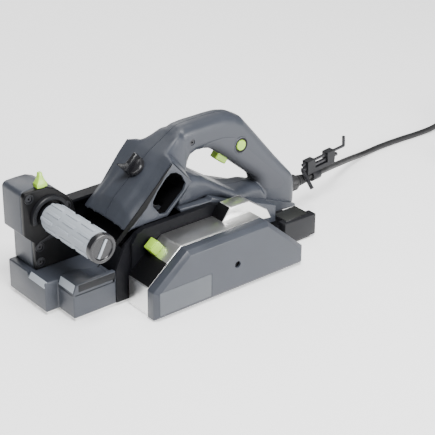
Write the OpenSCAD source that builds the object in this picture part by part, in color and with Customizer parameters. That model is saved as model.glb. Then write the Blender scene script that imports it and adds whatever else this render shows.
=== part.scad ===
// Electric hand planer with a plug-in mains lead.
// X runs from the toe to the heel, Y to the machine's right, Z up from the sole.
// Lengths along the machine are laid out from the toe and from the left flank.

/* [Body] */
// Length from the toe to the back of the handle's foot
body_len = 332; // [300:1:420]
// Planing width of the cutter drum
planing_w = 82; // [68:1:100]
// Thickness of the flank beside each end of the drum
flank_t = 7; // [6:0.5:9]
// Height of the handle's top above the sole
handle_top = 157; // [150:1:190]
// Wall thickness of the plastic casings
wall = 3; // [2.5:0.5:4]

/* [Sole and toe] */
// Thickness of the two soles
sole_t = 8; // [6:0.5:9]
// Deepest cut, which is how far the front sole lifts
cut_depth = 3.5; // [1:0.5:3.5]
// Height of the toe's right block
toe_h = 37; // [32:1:44]
// How far the toe's left block is set back
toe_step = 15; // [8:1:24]
// Share of the width that the left block takes, in millimetres
toe_split = 27.6; // [20:0.5:36]

/* [Drum and drive] */
// Radius of the drum's cutting circle
drum_r = 27; // [22:0.5:28]
// Distance of the drum's axis from the toe
drum_x = 102; // [98:1:112]
// Distance of the motor's axis from the toe
motor_x = 206; // [200:1:225]
// Height of the motor's axis
motor_z = 45; // [44:1:52]
// Radius of the stator
stator_r = 30; // [26:0.5:30]
// Radius of the motor's belt pulley
motor_pulley_r = 15; // [12:0.5:17]
// Radius of the drum's belt pulley
drum_pulley_r = 13; // [11:0.5:16]
// Width of the belt case, from the left flank outwards
belt_case_w = 52.7; // [50:0.5:64]

/* [Handles] */
// Width of the sloping spine
spine_w = 78; // [66:1:84]
// Width of the main handle
handle_w = 32; // [28:1:38]
// Radius of the front handle's grip
knob_r = 15.5; // [13:0.5:19]
// Length of the front handle
knob_len = 94; // [75:1:110]
// Width of the front post
post_w = 40; // [34:1:44]
// Height of the front post's top
post_h = 125; // [120:1:134]

/* [Mains lead] */
// Diameter of the lead
lead_d = 7; // [6:0.5:9]

/* [Hidden] */

gap = 0.3;                    // clearance between parts that move past each other
run = 0.05;                   // radial clearance of a running fit
round_fn = 64;
hull_fn = 32;

body_w = planing_w + 2 * flank_t;
seam_y = body_w / 2 - 6;      // plane where the two handle shells meet
spine_l = seam_y - spine_w / 2;
spine_r = seam_y + spine_w / 2;
left_wall = spine_l - gap;    // the left flank stands just outside the shells
right_wall = 4;
drum_z = drum_r;
drum_l = flank_t;
drum_rt = body_w - flank_t;
guard_t = 3;                  // how far the drum's guard stands out on the right
flare = 3.9;                  // how far the left flank stands out beside the belt case
post_l = body_w - post_w;
post_front = -2.5;            // the post leans out past the toe

// the origin is the middle of the object's footprint
mid_x = (body_len + post_front) / 2;
mid_y = (body_w + guard_t - belt_case_w) / 2;
module place() translate([-mid_x, -mid_y, 0]) children();

// an outline in X and Z, extruded from y0 to y1
module plate(points, y0, y1)
    translate([0, y1, 0]) rotate([90, 0, 0]) linear_extrude(y1 - y0) polygon(points);
// the same, with its outline moved inwards by t
module inner_plate(points, t, y0, y1)
    translate([0, y1, 0]) rotate([90, 0, 0]) linear_extrude(y1 - y0) offset(delta = -t) polygon(points);
// a round bar along Y
module bar(x, z, r, y0, y1, fn = round_fn)
    translate([x, y0, z]) rotate([-90, 0, 0]) cylinder(h = y1 - y0, r = r, $fn = fn);
// a round bar along Z
module post(x, y, r, z0, z1, fn = round_fn)
    translate([x, y, z0]) cylinder(h = z1 - z0, r = r, $fn = fn);
module block(x0, x1, y0, y1, z0, z1)
    translate([x0, y0, z0]) cube([x1 - x0, y1 - y0, z1 - z0]);
// a socket-head screw along Y whose head's face is at y0, pointing to y1
module screw_y(x, z, head_y, tip_y, r = 1.8) {
    way = sign(tip_y - head_y);
    head_t = 2.4;
    neck = head_y + way * head_t;
    difference() {
        bar(x, z, r * 1.8, min(head_y, neck), max(head_y, neck));
        bar(x, z, r * 0.8, min(head_y, head_y + way * 1.6) - 0.01, max(head_y, head_y + way * 1.6) + 0.01, 6);
    }
    bar(x, z, r, min(neck, tip_y), max(neck, tip_y));
}

// ---- sole and base ----
skirt_z = 4;                  // the plastic skirts end above the work
deck_z = sole_t + 3;          // top of the base's floor
base_x = 66;                  // the base starts behind the toe's housing
shoulder_l = 79;              // height of the left flank
shoulder_r = 87;              // height of the right flank
heel_h = 24;                  // height of the flanks at the heel
flank_back = motor_x - 18;    // the high part of the left flank ends here
heel_x = body_len - 7;        // the rear sole ends short of the handle's foot

left_flank = [[base_x, skirt_z], [base_x, 41], [78, 66], [91, 76], [100, shoulder_l], [flank_back, shoulder_l],
    [motor_x + 26, 62], [motor_x + 64, heel_h], [heel_x, heel_h], [heel_x, sole_t], [base_x + 44, sole_t],
    [base_x + 44, skirt_z]];
right_flank = [[base_x, skirt_z], [base_x, 41], [66, 82], [71, shoulder_r], [flank_back, shoulder_r],
    [motor_x + 32, 66], [motor_x + 68, heel_h], [heel_x, heel_h], [heel_x, sole_t], [base_x + 44, sole_t],
    [base_x + 44, skirt_z]];
ring_t = 2.7;                 // thickness of the rings that hold the stator
bearing_r = 12;               // outer radius of all four ball bearings' seats
drum_room = drum_r + 2.5;     // radius of the drum's chamber
chamber_end = 1.5;            // thickness of the walls at the chamber's ends

module base_frame() color("#26282c") difference() {
    union() {
        plate(left_flank, 0, left_wall);
        plate([for (p = left_flank) [min(max(p[0], 84), box_front - gap), p[1]]], -flare, 0.01);
        plate(right_flank, body_w - right_wall, body_w);
        // right shoulder
        block(71, flank_back, spine_r + gap, body_w - 3.9, shoulder_r - 3, shoulder_r);
        // floor, with the drum's chamber standing on it
        block(base_x + 44, heel_x, 3.9, body_w - 3.9, sole_t, deck_z);
        intersection() {
            bar(drum_x, drum_z, drum_room + 3, drum_l - chamber_end, drum_rt + chamber_end);
            block(drum_x - 40, drum_x + 40, 0, body_w, deck_z - 1, 80);
        }
        block(drum_x - drum_room - 3, drum_x + drum_room + 3, 3.9, drum_l - chamber_end, sole_t + cut_depth + 0.5,
            drum_z + 8);
        block(drum_x - drum_room - 3, drum_x + drum_room + 3, drum_rt + chamber_end, body_w - 3.9,
            sole_t + cut_depth + 0.5, drum_z + 8);
        // rings that hold the stator
        for (y = [30, 62]) intersection() {
            bar(motor_x, motor_z, stator_r + ring_t, y, y + 8);
            block(motor_x - 60, motor_x + 60, y, y + 8, deck_z - 1, 90);
        }
        for (y = [30, 62], x = [motor_x - stator_r - ring_t, motor_x + stator_r])
            block(x, x + ring_t, y, y + 8, deck_z - 1, motor_z);
        // bosses for the bearings
        bar(drum_x, drum_z, bearing_r + 3, -flare, drum_l - 1.2);
        bar(drum_x, drum_z, bearing_r + 3, drum_rt + 1.2, body_w);
        bar(motor_x, motor_z, bearing_r + 3, -flare, 9);
    }
    // drum's chamber and its chip outlet at the top
    bar(drum_x, drum_z, drum_room, drum_l - 1.2, drum_rt + 1.2);
    block(drum_x - drum_room - 9, drum_x + drum_room, drum_l - chamber_end - 0.1, drum_rt + chamber_end + 0.1, -1,
        deck_z + 6);
    block(drum_x - 17, drum_x + 20, drum_l + 4, drum_rt - 4, drum_z, 80);
    // bearing seats and shaft holes
    bar(drum_x, drum_z, bearing_r, -flare - 1, drum_l);
    bar(drum_x, drum_z, bearing_r, drum_rt, body_w - 1.5);
    bar(guard_x, guard_z, 2.5 + run, body_w - 5, body_w + 1);
    bar(motor_x, motor_z, bearing_r, -flare - 1, max(10, left_wall + 1));
    bar(motor_x, motor_z, stator_r, 20, 80);
    for (p = sole_holes) post(p[0], p[1], 2, sole_t - 1, deck_z + 1);
}

module rear_sole() color("#c9ccce") difference() {
    plate([[drum_x + 12, 0], [heel_x, 0], [heel_x, sole_t], [drum_x + 21, sole_t]], 0.5, body_w - 0.5);
    for (p = sole_holes) post(p[0], p[1], 2, -1, sole_t + 1);
    for (p = sole_holes) post(p[0], p[1], 4, -1, 3);
}
guard_x = drum_x + 32;         // the drum guard's pivot
guard_z = 50;
sole_holes = [for (x = [drum_x + 50, heel_x - 20], y = [16, body_w - 16]) [x, y]];
module sole_screws() color("#8f9296") for (p = sole_holes) {
    difference() {
        post(p[0], p[1], 3.8, 0.6, 2.9);
        post(p[0], p[1], 1.6, 0.5, 2, 6);
    }
    post(p[0], p[1], 2, 2.8, deck_z - 0.5);
}

// ---- toe ----
toe_plan = [[toe_step, 0], [base_x, 0], [base_x, body_w], [0, body_w], [0, toe_split], [toe_step, toe_split]];
near_top = toe_h + 4;         // the left block's top
skirt = 2.2;                  // thickness of the toe's skirts
rod_x = 26;                   // the lifting rod stands under the front handle's axis
rod_y = body_w - 16;
knob_z = 95;
module toe_housing() color("#50565f") difference() {
    union() {
        translate([0, 0, skirt_z]) linear_extrude(toe_h - skirt_z) polygon(toe_plan);
        block(toe_step, base_x, 0, toe_split, toe_h - 1, near_top);
    }
    difference() {
        translate([0, 0, skirt_z - 1]) linear_extrude(toe_h - wall - skirt_z + 1) offset(delta = -skirt)
            polygon([[toe_step, 0], [base_x + 9, 0], [base_x + 9, body_w], [0, body_w], [0, toe_split],
                [toe_step, toe_split]]);
        // boss round the fence's threaded hole, and the rod's guide
        bar(fence_x, fence_z, 7, body_w - 16, body_w);
        post(rod_x, rod_y, 7, 18, toe_h);
    }
    bar(fence_x, fence_z, fence_r, body_w - 14, body_w + 1);
    post(rod_x, rod_y, 4 + run, 10, toe_h + 1);
    // bevels on the front edges
    plate([[-1, toe_h - 6], [-1, toe_h + 1], [3.5, toe_h + 1]], toe_split - 1, post_l);
    plate([[toe_step - 1, near_top - 10], [toe_step - 1, near_top + 1], [toe_step + 3, near_top + 1]],
        -1, toe_split + 1);
    // the well behind the left block
    block(toe_step + 8, base_x + 1, 4, toe_split + 1, toe_h, near_top + 1);
    // seat of the lifting rod's spring
    post(rod_x, rod_y, 6, 17, 20);
}
fence_x = 44;
fence_z = 22;
fence_r = 3.4;                // tapping size of M8

// the front sole's body fills the skirt and lifts inside it
sole_l = max(skirt, left_wall) + gap;
sole_rt = body_w - max(skirt, right_wall) - gap;
sole_plan = [[toe_step + skirt + gap, sole_l], [drum_x - 15, sole_l], [drum_x - 15, sole_rt],
    [skirt + gap, sole_rt], [skirt + gap, toe_split + skirt + gap], [toe_step + skirt + gap, toe_split + skirt + gap]];
groove = 5;                   // depth of the chamfering groove
module front_sole() color("#c9ccce") difference() {
    intersection() {
        linear_extrude(sole_t) polygon(sole_plan);
        plate([[-5, 0], [drum_x - 16, 0], [drum_x - 24, sole_t], [-5, sole_t]], -1, body_w + 1);
    }
    // V groove for breaking edges
    translate([-6, body_w / 2, -groove + 1]) rotate([45, 0, 0])
        cube([drum_x + 20, groove, groove]);
    post(rod_x, rod_y, 3, 2.5, sole_t + 1);
}
module lift_rod() color("#9a9da1") {
    post(rod_x, rod_y, 3, 2.5, sole_t);
    post(rod_x, rod_y, 5.5, sole_t, sole_t + 2);
    post(rod_x, rod_y, 4, sole_t + 2, rod_top);
}
cam_r = 16;                   // the cam's greatest radius
turn = 280;                   // how far the handle turns, in degrees
cam_rate = cut_depth / (turn * PI / 180);
rod_top = knob_z - cam_r + cam_rate * 25 * PI / 180 - 0.1;

// ---- front post ----
post_seam = post_l + 6;
boss_r = 5.5;                 // the screw bosses reach the post's walls
post_profile = [[8, toe_h], [8, 68], [post_front, 78], [post_front, post_h - 1], [12, post_h + 0.5],
    [25, post_h], [40, post_h - 8.5], [52, post_h - 20.4], [57, 92], [60, 78], [base_x - 0.4, 74],
    [base_x - 0.4, toe_h]];
module post_walls() difference() {
    plate(post_profile, post_seam, body_w);
    inner_plate(post_profile, wall, post_seam - 1, body_w - wall);
    post(rod_x, rod_y, 5, toe_h - 1, toe_h + 10);
    lock_slot();
    for (p = post_screw_at) bar(p[0], p[1], 1.8, post_seam - 1, post_seam + 12);
}
module post_bosses() for (p = post_screw_at) difference() {
    bar(p[0], p[1], boss_r, post_seam, post_seam + 12);
    bar(p[0], p[1], 1.8, post_seam - 1, post_seam + 13);
}
// the lock's stem slides along this slot in the post's top
lock_x = 21;
lock_y = post_l + 5;
lock_travel = 6;
module lock_slot() block(lock_x - 3.5, lock_x + 3.5, lock_y - 4, lock_y + 4 + lock_travel, post_h - 6,
    post_h + 3);
post_screw_at = [[4, 118], [47, 98], [13.5, 62], [13.5, 45]];
spindle_r = 5;
module post_cover() color("#3c4047") difference() {
    plate(post_profile, post_l, post_seam);
    inner_plate(post_profile, wall, post_l + wall, post_seam + 1);
    // collar that the front handle turns in
    bar(rod_x, knob_z, spindle_r + run, post_l - 1, post_seam + 1);
    lock_slot();
    for (p = post_screw_at) {
        bar(p[0], p[1], 1.8, post_l - 1, post_seam + 1);
        bar(p[0], p[1], 3.6, post_l - 1, post_l + 2.5);
    }
}
module post_shell() color("#50565f") {
    post_walls();
    intersection() {
        post_bosses();
        plate(post_profile, post_seam, body_w);
    }
    // bush that carries the spindle's far end
    difference() {
        bar(rod_x, knob_z, 9, body_w - 8, body_w - wall + 0.01);
        bar(rod_x, knob_z, spindle_r + run, body_w - 9, body_w - wall + 0.1);
    }
}
module post_screws() color("#1b1c1e") for (p = post_screw_at)
    screw_y(p[0], p[1], post_l + 0.1, post_seam + 10, 1.75);

// ---- front handle: turning it sets the depth ----
knob_l = post_l - knob_len;
module grip_core() color("#3c4047") difference() {
    bar(rod_x, knob_z, knob_r - 3, knob_l + 7, post_l - 0.5);
    bar(rod_x, knob_z, spindle_r, knob_l + 6, post_l + 1);
}
module grip_sleeve() color("#8c929b") difference() {
    bar(rod_x, knob_z, knob_r, knob_l + 7, post_l - 6);
    bar(rod_x, knob_z, knob_r - 3, knob_l + 6, post_l);
}
module grip_cap() color("#1b1c1e") difference() {
    bar(rod_x, knob_z, knob_r, knob_l, knob_l + 7);
    bar(rod_x, knob_z, knob_r - 3.5, knob_l - 1, knob_l + 1.2);
    bar(rod_x, knob_z, 3, knob_l - 1, knob_l + 4, 6);
}
// the spindle with its spiral cam
module depth_spindle() color("#9a9da1") {
    bar(rod_x, knob_z, spindle_r, knob_l + 7, body_w - wall - 0.5);
    translate([rod_x, rod_y + 4, knob_z]) rotate([90, 0, 0]) linear_extrude(8)
        polygon([for (a = [0 : 10 : 330]) let (r = cam_r - cam_rate * a * PI / 180)
            [r * sin(25 - a), -r * cos(25 - a)]]);
}
module depth_lock() color("#8cc63f") {
    translate([lock_x, lock_y, post_h - 5.6]) linear_extrude(7) square([6.4, 7], center = true);
    hull() {
        translate([lock_x, lock_y, post_h + 0.8]) linear_extrude(4) square([12, 8.5], center = true);
        translate([lock_x, lock_y, post_h + 14]) linear_extrude(2) square([4, 5], center = true);
    }
}

// ---- handle shells ----
handle_l = seam_y - handle_w / 2;
handle_r = seam_y + handle_w / 2;
heel_deck = heel_h + gap;     // underside of the shells' deck at the heel
cheek_r = body_w - right_wall - gap;   // the deck reaches the right flank's inner face
spine_profile = [[30, near_top + gap], [84, 84], [94, 97], [112, 112], [135, 133], [151, 143], [167, 152],
    [175, handle_top + 0.5], [182, handle_top], [170, 149], [160, 142], [168, 125], [182, 97], [190, 84],
    [190, shoulder_l + gap], [base_x + 24, shoulder_l + gap], [base_x + 0.3, 60], [base_x, near_top + gap]];
// the spine proper starts behind the front handle; only its left edge runs down to the toe
spine_front = 84;
shoulder_top = 137;           // above this height the spine is only as wide as its neck
neck_w = 42;
module spine(t) intersection() {
    inner_plate(spine_profile, t, spine_l + t, spine_r - t);
    union() {
        block(0, 200, spine_l, spine_r, 0, shoulder_top - t);
        block(0, 200, seam_y - neck_w / 2 + t, seam_y + neck_w / 2 - t, 0, 300);
    }
}
handle_outline = [[150, 100], [160, 145], [175, handle_top], [229, handle_top], [243, handle_top - 3],
    [255, handle_top - 10], [body_len - 63, 130], [body_len - 34, 96], [body_len - 11.5, 71],
    [body_len - 1, 57], [body_len, 50], [body_len, 25], [body_len - 48, 25], [body_len - 52, 40],
    [182, 100]];
window = [[184, 121], [188, 124], [210, 123], [237.5, 103], [body_len - 75, 86], [body_len - 56, 70],
    [body_len - 59, 65], [body_len - 75, 66.6], [body_len - 94, 69], [213, 86], [190, 103], [181, 113]];
// the motor's hood slopes down from the spine to the handle's foot
hood = [[150, shoulder_l + gap], [172, 112], [184, 106], [body_len - 51, 35], [body_len - 48, heel_deck],
    [motor_x + 64, heel_deck], [motor_x + 26, 62.5], [190, shoulder_l + gap]];
hood_room = [[164, 20], [164, 84], [175, 106], [183.5, 102.6], [body_len - 53, 32.6], [body_len - 53, 20]];
hood_l = 12;
hood_r = spine_r;
deck = [[150, shoulder_l + gap], [190, shoulder_l + gap], [motor_x + 26, 62.5], [motor_x + 64, heel_deck],
    [heel_x, heel_deck], [heel_x, heel_deck + wall], [motor_x + 66, heel_deck + wall], [motor_x + 27, 66],
    [192, shoulder_l + 3.6], [150, shoulder_l + 3.6]];
port_edge = [[141, 137], [166, 109], [134, shoulder_l + gap], [base_x + 26, shoulder_l + gap], [109, 100],
    [129, 124.5]];
port_hole = [[115, 96], [124, 84], [132, 83], [155, 102.5], [157.7, 109.8], [152.6, 120.3], [145, 126],
    [138, 127], [131, 122.6], [121, 111.5], [115, 102]];
shell_holes = [[184, 139], [body_len - 31, 34]];
// the trigger and the lock button
trigger_x = 233;
trigger_z = 104.3;
trigger_lean = 38.5;
trigger_w = 10;
trigger_l = 17;
trigger_out = 5;              // how far it stands out at rest
trigger_travel = 5;
trigger_inner = 8;              // what stays inside the handle at rest
lock_at = [249, 118];
lock_r = 6;
lead_z = 41;                  // height of the lead's socket
socket_r = 10;

module trigger_frame() translate([trigger_x, seam_y, trigger_z]) rotate([0, trigger_lean, 0]) children();
module handle_ring(t) offset(delta = -t) difference() {
    polygon(handle_outline);
    polygon(window);
}
module handle_layer(t, y0, y1) translate([0, y1, 0]) rotate([90, 0, 0]) linear_extrude(y1 - y0) handle_ring(t);

module shell_solid() {
    intersection() {
        spine(0);
        union() {
            block(spine_front, 200, -10, 200, 0, 300);
            block(0, spine_front + 1, -10, toe_split + 2, 0, 300);
        }
    }
    // the handle's section is rounded off towards its sides
    handle_layer(0, handle_l + 5, handle_r - 5);
    handle_layer(1.5, handle_l + 1.5, handle_r - 1.5);
    handle_layer(3.5, handle_l, handle_r);
    plate(hood, hood_l, hood_r);
    // deck between the flanks, clear of the rating plate's housing
    difference() {
        plate(deck, spine_l, cheek_r);
        block(body_len - 52, body_len, -10, 21.3, 0, 60);
    }
}
module shell_room() {
    difference() {
        spine(wall);
        block(0, 165, -10, 200, 0, shoulder_l + 2);
    }
    block(base_x + 30, 160, spine_l + wall, spine_r - wall, 60, shoulder_l + 4);
    handle_layer(wall + 2, handle_l + wall + 1, handle_r - wall - 1);
    plate(hood_room, hood_l + wall, hood_r - wall);
}
module shells() difference() {
    shell_solid();
    shell_room();
    plate(window, -10, 150);
    // seats of the ports' covers
    plate(port_edge, spine_l - 1, spine_l + wall);
    plate(port_edge, spine_r - wall, spine_r + 1);
    trigger_frame() translate([-trigger_l / 2 - gap, -trigger_w / 2 - gap, -20])
        cube([trigger_l + 2 * gap, trigger_w + 2 * gap, 20 + trigger_inner + trigger_travel + gap]);
    trigger_frame() translate([-17, -7, 15]) cube([18, 14, 14]);
    bar(lock_at[0], lock_at[1], lock_r + gap, handle_l - 1, seam_y - 8);
    bar(lock_at[0], lock_at[1], 3 + gap, seam_y - 9, handle_r - 6);
    // room for the rear housing
    block(box_front - gap, body_len + 1, -20, 21.3, 0, box_top + gap);
    // seat of the lead's socket
    translate([body_len - 22, seam_y, lead_z]) rotate([0, 90, 0]) cylinder(h = 30, r = socket_r, $fn = round_fn);
    // the selector's stem
    selector_frame() translate([0, 0, -12]) cylinder(h = 20, r = 4 + gap, $fn = round_fn);
    for (p = shell_holes) {
        bar(p[0], p[1], 1.8, handle_l - 1, handle_r - 4);
        bar(p[0], p[1], 3.6, handle_l - 1, handle_l + 3);
    }
    grips();
}
module half(y0, y1) intersection() {
    children();
    block(-20, 600, y0, y1, -10, 400);
}
module left_shell() color("#555b65") half(-20, seam_y) shells();
module right_shell() color("#555b65") half(seam_y, 150) shells();
module shell_screws() color("#1b1c1e") for (p = shell_holes)
    screw_y(p[0], p[1], handle_l + 0.6, handle_r - 5, 1.75);

// soft inserts round the handle's inside
grip_line = [[193, 118], [201, 131], [210, 133], [225, 133], [241, 129], [257, 113], [body_len - 50, 88],
    [body_len - 27, 66], [body_len - 20, 56], [body_len - 26, 50.5], [body_len - 44, 55], [body_len - 60, 60],
    [230, 95]];
grip_t = 1.2;
module grips() difference() {
    union() {
        plate(grip_line, handle_l - 1, handle_l + grip_t);
        plate(grip_line, handle_r - grip_t, handle_r + 1);
    }
    bar(lock_at[0], lock_at[1], lock_r + 2.5, 0, 100);
}
module grip_pad() intersection() {
    grips();
    handle_layer(3.5, handle_l, handle_r);
}
module left_grip() color("#3a3d44") half(-20, seam_y) grip_pad();
module right_grip() color("#3a3d44") half(seam_y, 150) grip_pad();

// ---- chip ports ----
module port_cover(y0, y1) difference() {
    plate(port_edge, y0, y1);
    plate(port_hole, y0 - 1, y1 + 1);
}
module left_port_cover() color("#c4c8cd") port_cover(spine_l, spine_l + wall);
module right_port_cover() color("#c4c8cd") port_cover(spine_r - wall, spine_r);
duct_l = spine_l + wall + 0.1;
duct_r = spine_r - wall - 0.1;
chute_l = max(drum_l + 6, duct_l);
chute_r = min(drum_rt - 6, spine_r - 10);
chute = [[84, drum_z + drum_room + 3.2], [124, drum_z + drum_room + 3.2], [144, 92], [114, 97]];
module chip_duct() color("#2c2e32") difference() {
    union() {
        translate([0, duct_r, 0]) rotate([90, 0, 0]) linear_extrude(duct_r - duct_l) offset(delta = 1.6)
            polygon(port_hole);
        plate(chute, chute_l, chute_r);
    }
    plate(port_hole, -1, 150);
    inner_plate([for (p = chute) [p[0], p[1] + (p[1] < 70 ? -4 : 2)]], 2.4, chute_l + 2.4, chute_r - 2.4);
    selector_frame() translate([0, 0, -12]) cylinder(h = 20, r = 4 + gap, $fn = round_fn);
}

// the selector stands square on the spine's slope
selector_lean = -42;
module selector_frame() translate([124, seam_y, 122.6]) rotate([0, selector_lean, 0]) children();
module selector_knob() color("#1b1c1e") selector_frame() {
    translate([0, 0, 1]) cylinder(h = 6, r = 11, $fn = round_fn);
    translate([-11, -3, 6.5]) cube([22, 6, 7]);
    translate([-11, -2, 13]) cube([8, 4, 10]);
    translate([0, 0, -7]) cylinder(h = 8.5, r = 4, $fn = round_fn);
}
module chip_deflector() color("#8c929b") selector_frame() {
    translate([0, 0, -11]) cylinder(h = 4, r = 4, $fn = round_fn);
    translate([-13, -1, -25]) cube([26, 2, 14.5]);
}

// ---- housing beside the heel, with the blank rating plate on it ----
box_back = body_len - 6;
box_front = body_len - 51;
box_top = 28;
module rear_housing() color("#34373c") difference() {
    union() {
        block(box_front, box_back, -12, -0.05, 3, box_top);
        block(box_front, box_back, -12, 21, heel_deck, box_top);
    }
    // pocket for the parking shoe
    block(box_front + 8, box_back - 4, -10, -2, 2, 14);
    bar(shoe_x, shoe_z, 2, -11, -1);
}
module rating_plate() color("#9fa2a0") block(box_front + 7, box_back - 8, -6, 14, box_top, box_top + 0.6);
shoe_x = box_front + 14;
shoe_z = 9;
module parking_shoe() color("#1b1c1e") difference() {
    union() {
        bar(shoe_x, shoe_z, 4, -9.7, -2.3);
        block(shoe_x - 2, box_back - 6, -9.7, -2.3, 0.5, 6);
        block(shoe_x - 2, shoe_x + 2, -9.7, -2.3, 5, shoe_z);
    }
    bar(shoe_x, shoe_z, 2 + run, -11, -1);
}
module shoe_pin() color("#9a9da1") bar(shoe_x, shoe_z, 2, -11, -1);

// ---- belt case ----
case_back = motor_x + 67;
case_top = 67;
case_l = -37.8;               // the cover meets the housing here
case_profile = [[78, 1.6], [78, 34], [119.5, case_top], [motor_x + 16, case_top], [case_back, 22.5],
    [case_back, 1.6]];
cover_profile = [[76.4, 1.6], [76.4, 33], [118.5, case_top - 0.4], [motor_x + 16.4, case_top - 0.4],
    [case_back - 0.4, 21.8], [case_back - 0.4, 1.6]];
flange = [[motor_x - 26, 60], [motor_x - 11, 80], [motor_x + 15, 80], [motor_x + 40, 62], [motor_x + 46, 50]];
cover_hole = [180.7, 31.7];
button_lean = -38.9;
button_w = 12.6;
module button_frame() translate([107.4, -12.2, 57.4]) rotate([0, button_lean, 0]) children();
module case_walls() difference() {
    union() {
        plate(case_profile, case_l, -flare - 0.01);
        plate(flange, -22, -flare - 0.01);
    }
    inner_plate(case_profile, 2.6, case_l - 1, -flare - 3);
    inner_plate(flange, 2.6, -19.4, -flare - 3);
    block(190, 240, -19.4, -flare - 3, 55, 72);
    bar(drum_x, drum_z, bearing_r - 2, -10, 0);
    bar(motor_x, motor_z, bearing_r - 2, -10, 0);
    button_frame() translate([-button_w / 2 - gap, -button_w / 2 - gap, -6])
        cube([button_w + 2 * gap, button_w + 2 * gap, 12]);
}
module case_boss() difference() {
    bar(cover_hole[0], cover_hole[1], 4, case_l + 0.5, -flare - 2.9);
    bar(cover_hole[0], cover_hole[1], 2, case_l, -15);
}
module belt_housing() color("#c9ccce") {
    case_walls();
    case_boss();
}
module belt_cover() color("#50565f") difference() {
    hull() {
        plate(cover_profile, -belt_case_w + 5, case_l);
        inner_plate(cover_profile, 4.4, -belt_case_w, case_l);
    }
    inner_plate(cover_profile, 3.4, -belt_case_w + 2.8, case_l + 1);
    bar(cover_hole[0], cover_hole[1], 3.7, -belt_case_w - 1, case_l - 8);
    block(81, 147, -belt_case_w - 1, -belt_case_w + 0.6, 6.5, 33);
}
module cover_screw() color("#1b1c1e") screw_y(cover_hole[0], cover_hole[1], case_l - 11, -16, 1.98);
module name_plate() color("#6c727b") block(81.2, 146.8, -belt_case_w + 0.1, -belt_case_w + 0.6, 6.7, 32.8);
module spindle_lock() color("#8cc63f") button_frame() {
    translate([-button_w / 2, -button_w / 2, -2]) cube([button_w, button_w, 12]);
    translate([-button_w / 2 + 2, -button_w / 2 + 2, 10]) cube([button_w - 4, button_w - 4, 1]);
}

// ---- motor and drum ----
shaft_r = 6;
rotor_r = 21;
pulley_l = -31;
pulley_w = 18;
module stator() color("#6b6257") difference() {
    union() {
        bar(motor_x, motor_z, stator_r, 32, 70);
        bar(motor_x, motor_z, stator_r - 2, 25, 74);
    }
    bar(motor_x, motor_z, rotor_r + 0.5, 20, 80);
}
module brush_holder() color("#2c2e32") difference() {
    union() {
        bar(motor_x, motor_z, stator_r - 1, 74.1, 77);
        bar(motor_x, motor_z, 20, 76, 90);
    }
    bar(motor_x, motor_z, 14.5, 70, 84);
    bar(motor_x, motor_z, bearing_r, 83, 95);
    block(motor_x - 40, motor_x + 40, 78, 82, motor_z - 3, motor_z + 3);
}
module brushes() color("#3b3b3d") for (side = [-1, 1])
    translate([motor_x + side * 16.5 - 4, 78.1, motor_z - 2.9]) cube([8, 3.8, 5.8]);
// outer rings of the four ball bearings sit in their seats, the shafts turn in their bores
bearings = [[drum_x, drum_z, -2, drum_l - 1.5], [drum_x, drum_z, drum_rt + 1.5, body_w - 1.6],
    [motor_x, motor_z, -2, 6], [motor_x, motor_z, 84, 90]];
module ball_bearings() color("#b9bcc0") for (b = bearings) difference() {
    bar(b[0], b[1], bearing_r, b[2], b[3]);
    bar(b[0], b[1], shaft_r + run, b[2] - 1, b[3] + 1);
}
module rotor() color("#8a6a45") {
    difference() {
        bar(motor_x, motor_z, rotor_r, 32, 70);
        bar(motor_x, motor_z, shaft_r, 31, 71);
    }
    difference() {
        bar(motor_x, motor_z, 12, 75, 83.5);
        bar(motor_x, motor_z, shaft_r, 74, 84);
    }
}
module motor_shaft() color("#9a9da1") bar(motor_x, motor_z, shaft_r, pulley_l - 2, 89.5);
module fan() color("#2c2e32") difference() {
    union() {
        bar(motor_x, motor_z, 27, 21, 22.5);
        bar(motor_x, motor_z, 10, 15.5, 24);
        for (a = [0 : 30 : 330]) translate([motor_x, 16, motor_z]) rotate([0, a, 0])
            translate([9, 0, -0.8]) cube([17.5, 5.5, 1.6]);
    }
    bar(motor_x, motor_z, shaft_r, 10, 25);
}
module v_pulley(x, z, r) translate([x, pulley_l, z]) rotate([-90, 0, 0]) rotate_extrude($fn = round_fn)
    polygon(concat([[shaft_r, 0], [r, 0]],
        [for (i = [0 : 6], k = [0, 1]) k == 0 ? [r - 1.4, 2.6 + 2 * i] : [r, 3.4 + 2 * i]],
        [[r, pulley_w], [shaft_r, pulley_w]]));
module motor_pulley() color("#9a9da1") v_pulley(motor_x, motor_z, motor_pulley_r);
module drum_pulley() color("#9a9da1") v_pulley(drum_x, drum_z, drum_pulley_r);
belt_t = 2.2;
module belt_loop(t) hull() {
    bar(drum_x, drum_z, drum_pulley_r + t, pulley_l + 1, pulley_l + pulley_w - 1);
    bar(motor_x, motor_z, motor_pulley_r + t, pulley_l + 1, pulley_l + pulley_w - 1);
}
module drive_belt() color("#1b1c1e") difference() {
    belt_loop(0.2 + belt_t);
    hull() {
        bar(drum_x, drum_z, drum_pulley_r + 0.2, pulley_l, pulley_l + pulley_w);
        bar(motor_x, motor_z, motor_pulley_r + 0.2, pulley_l, pulley_l + pulley_w);
    }
}
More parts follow.
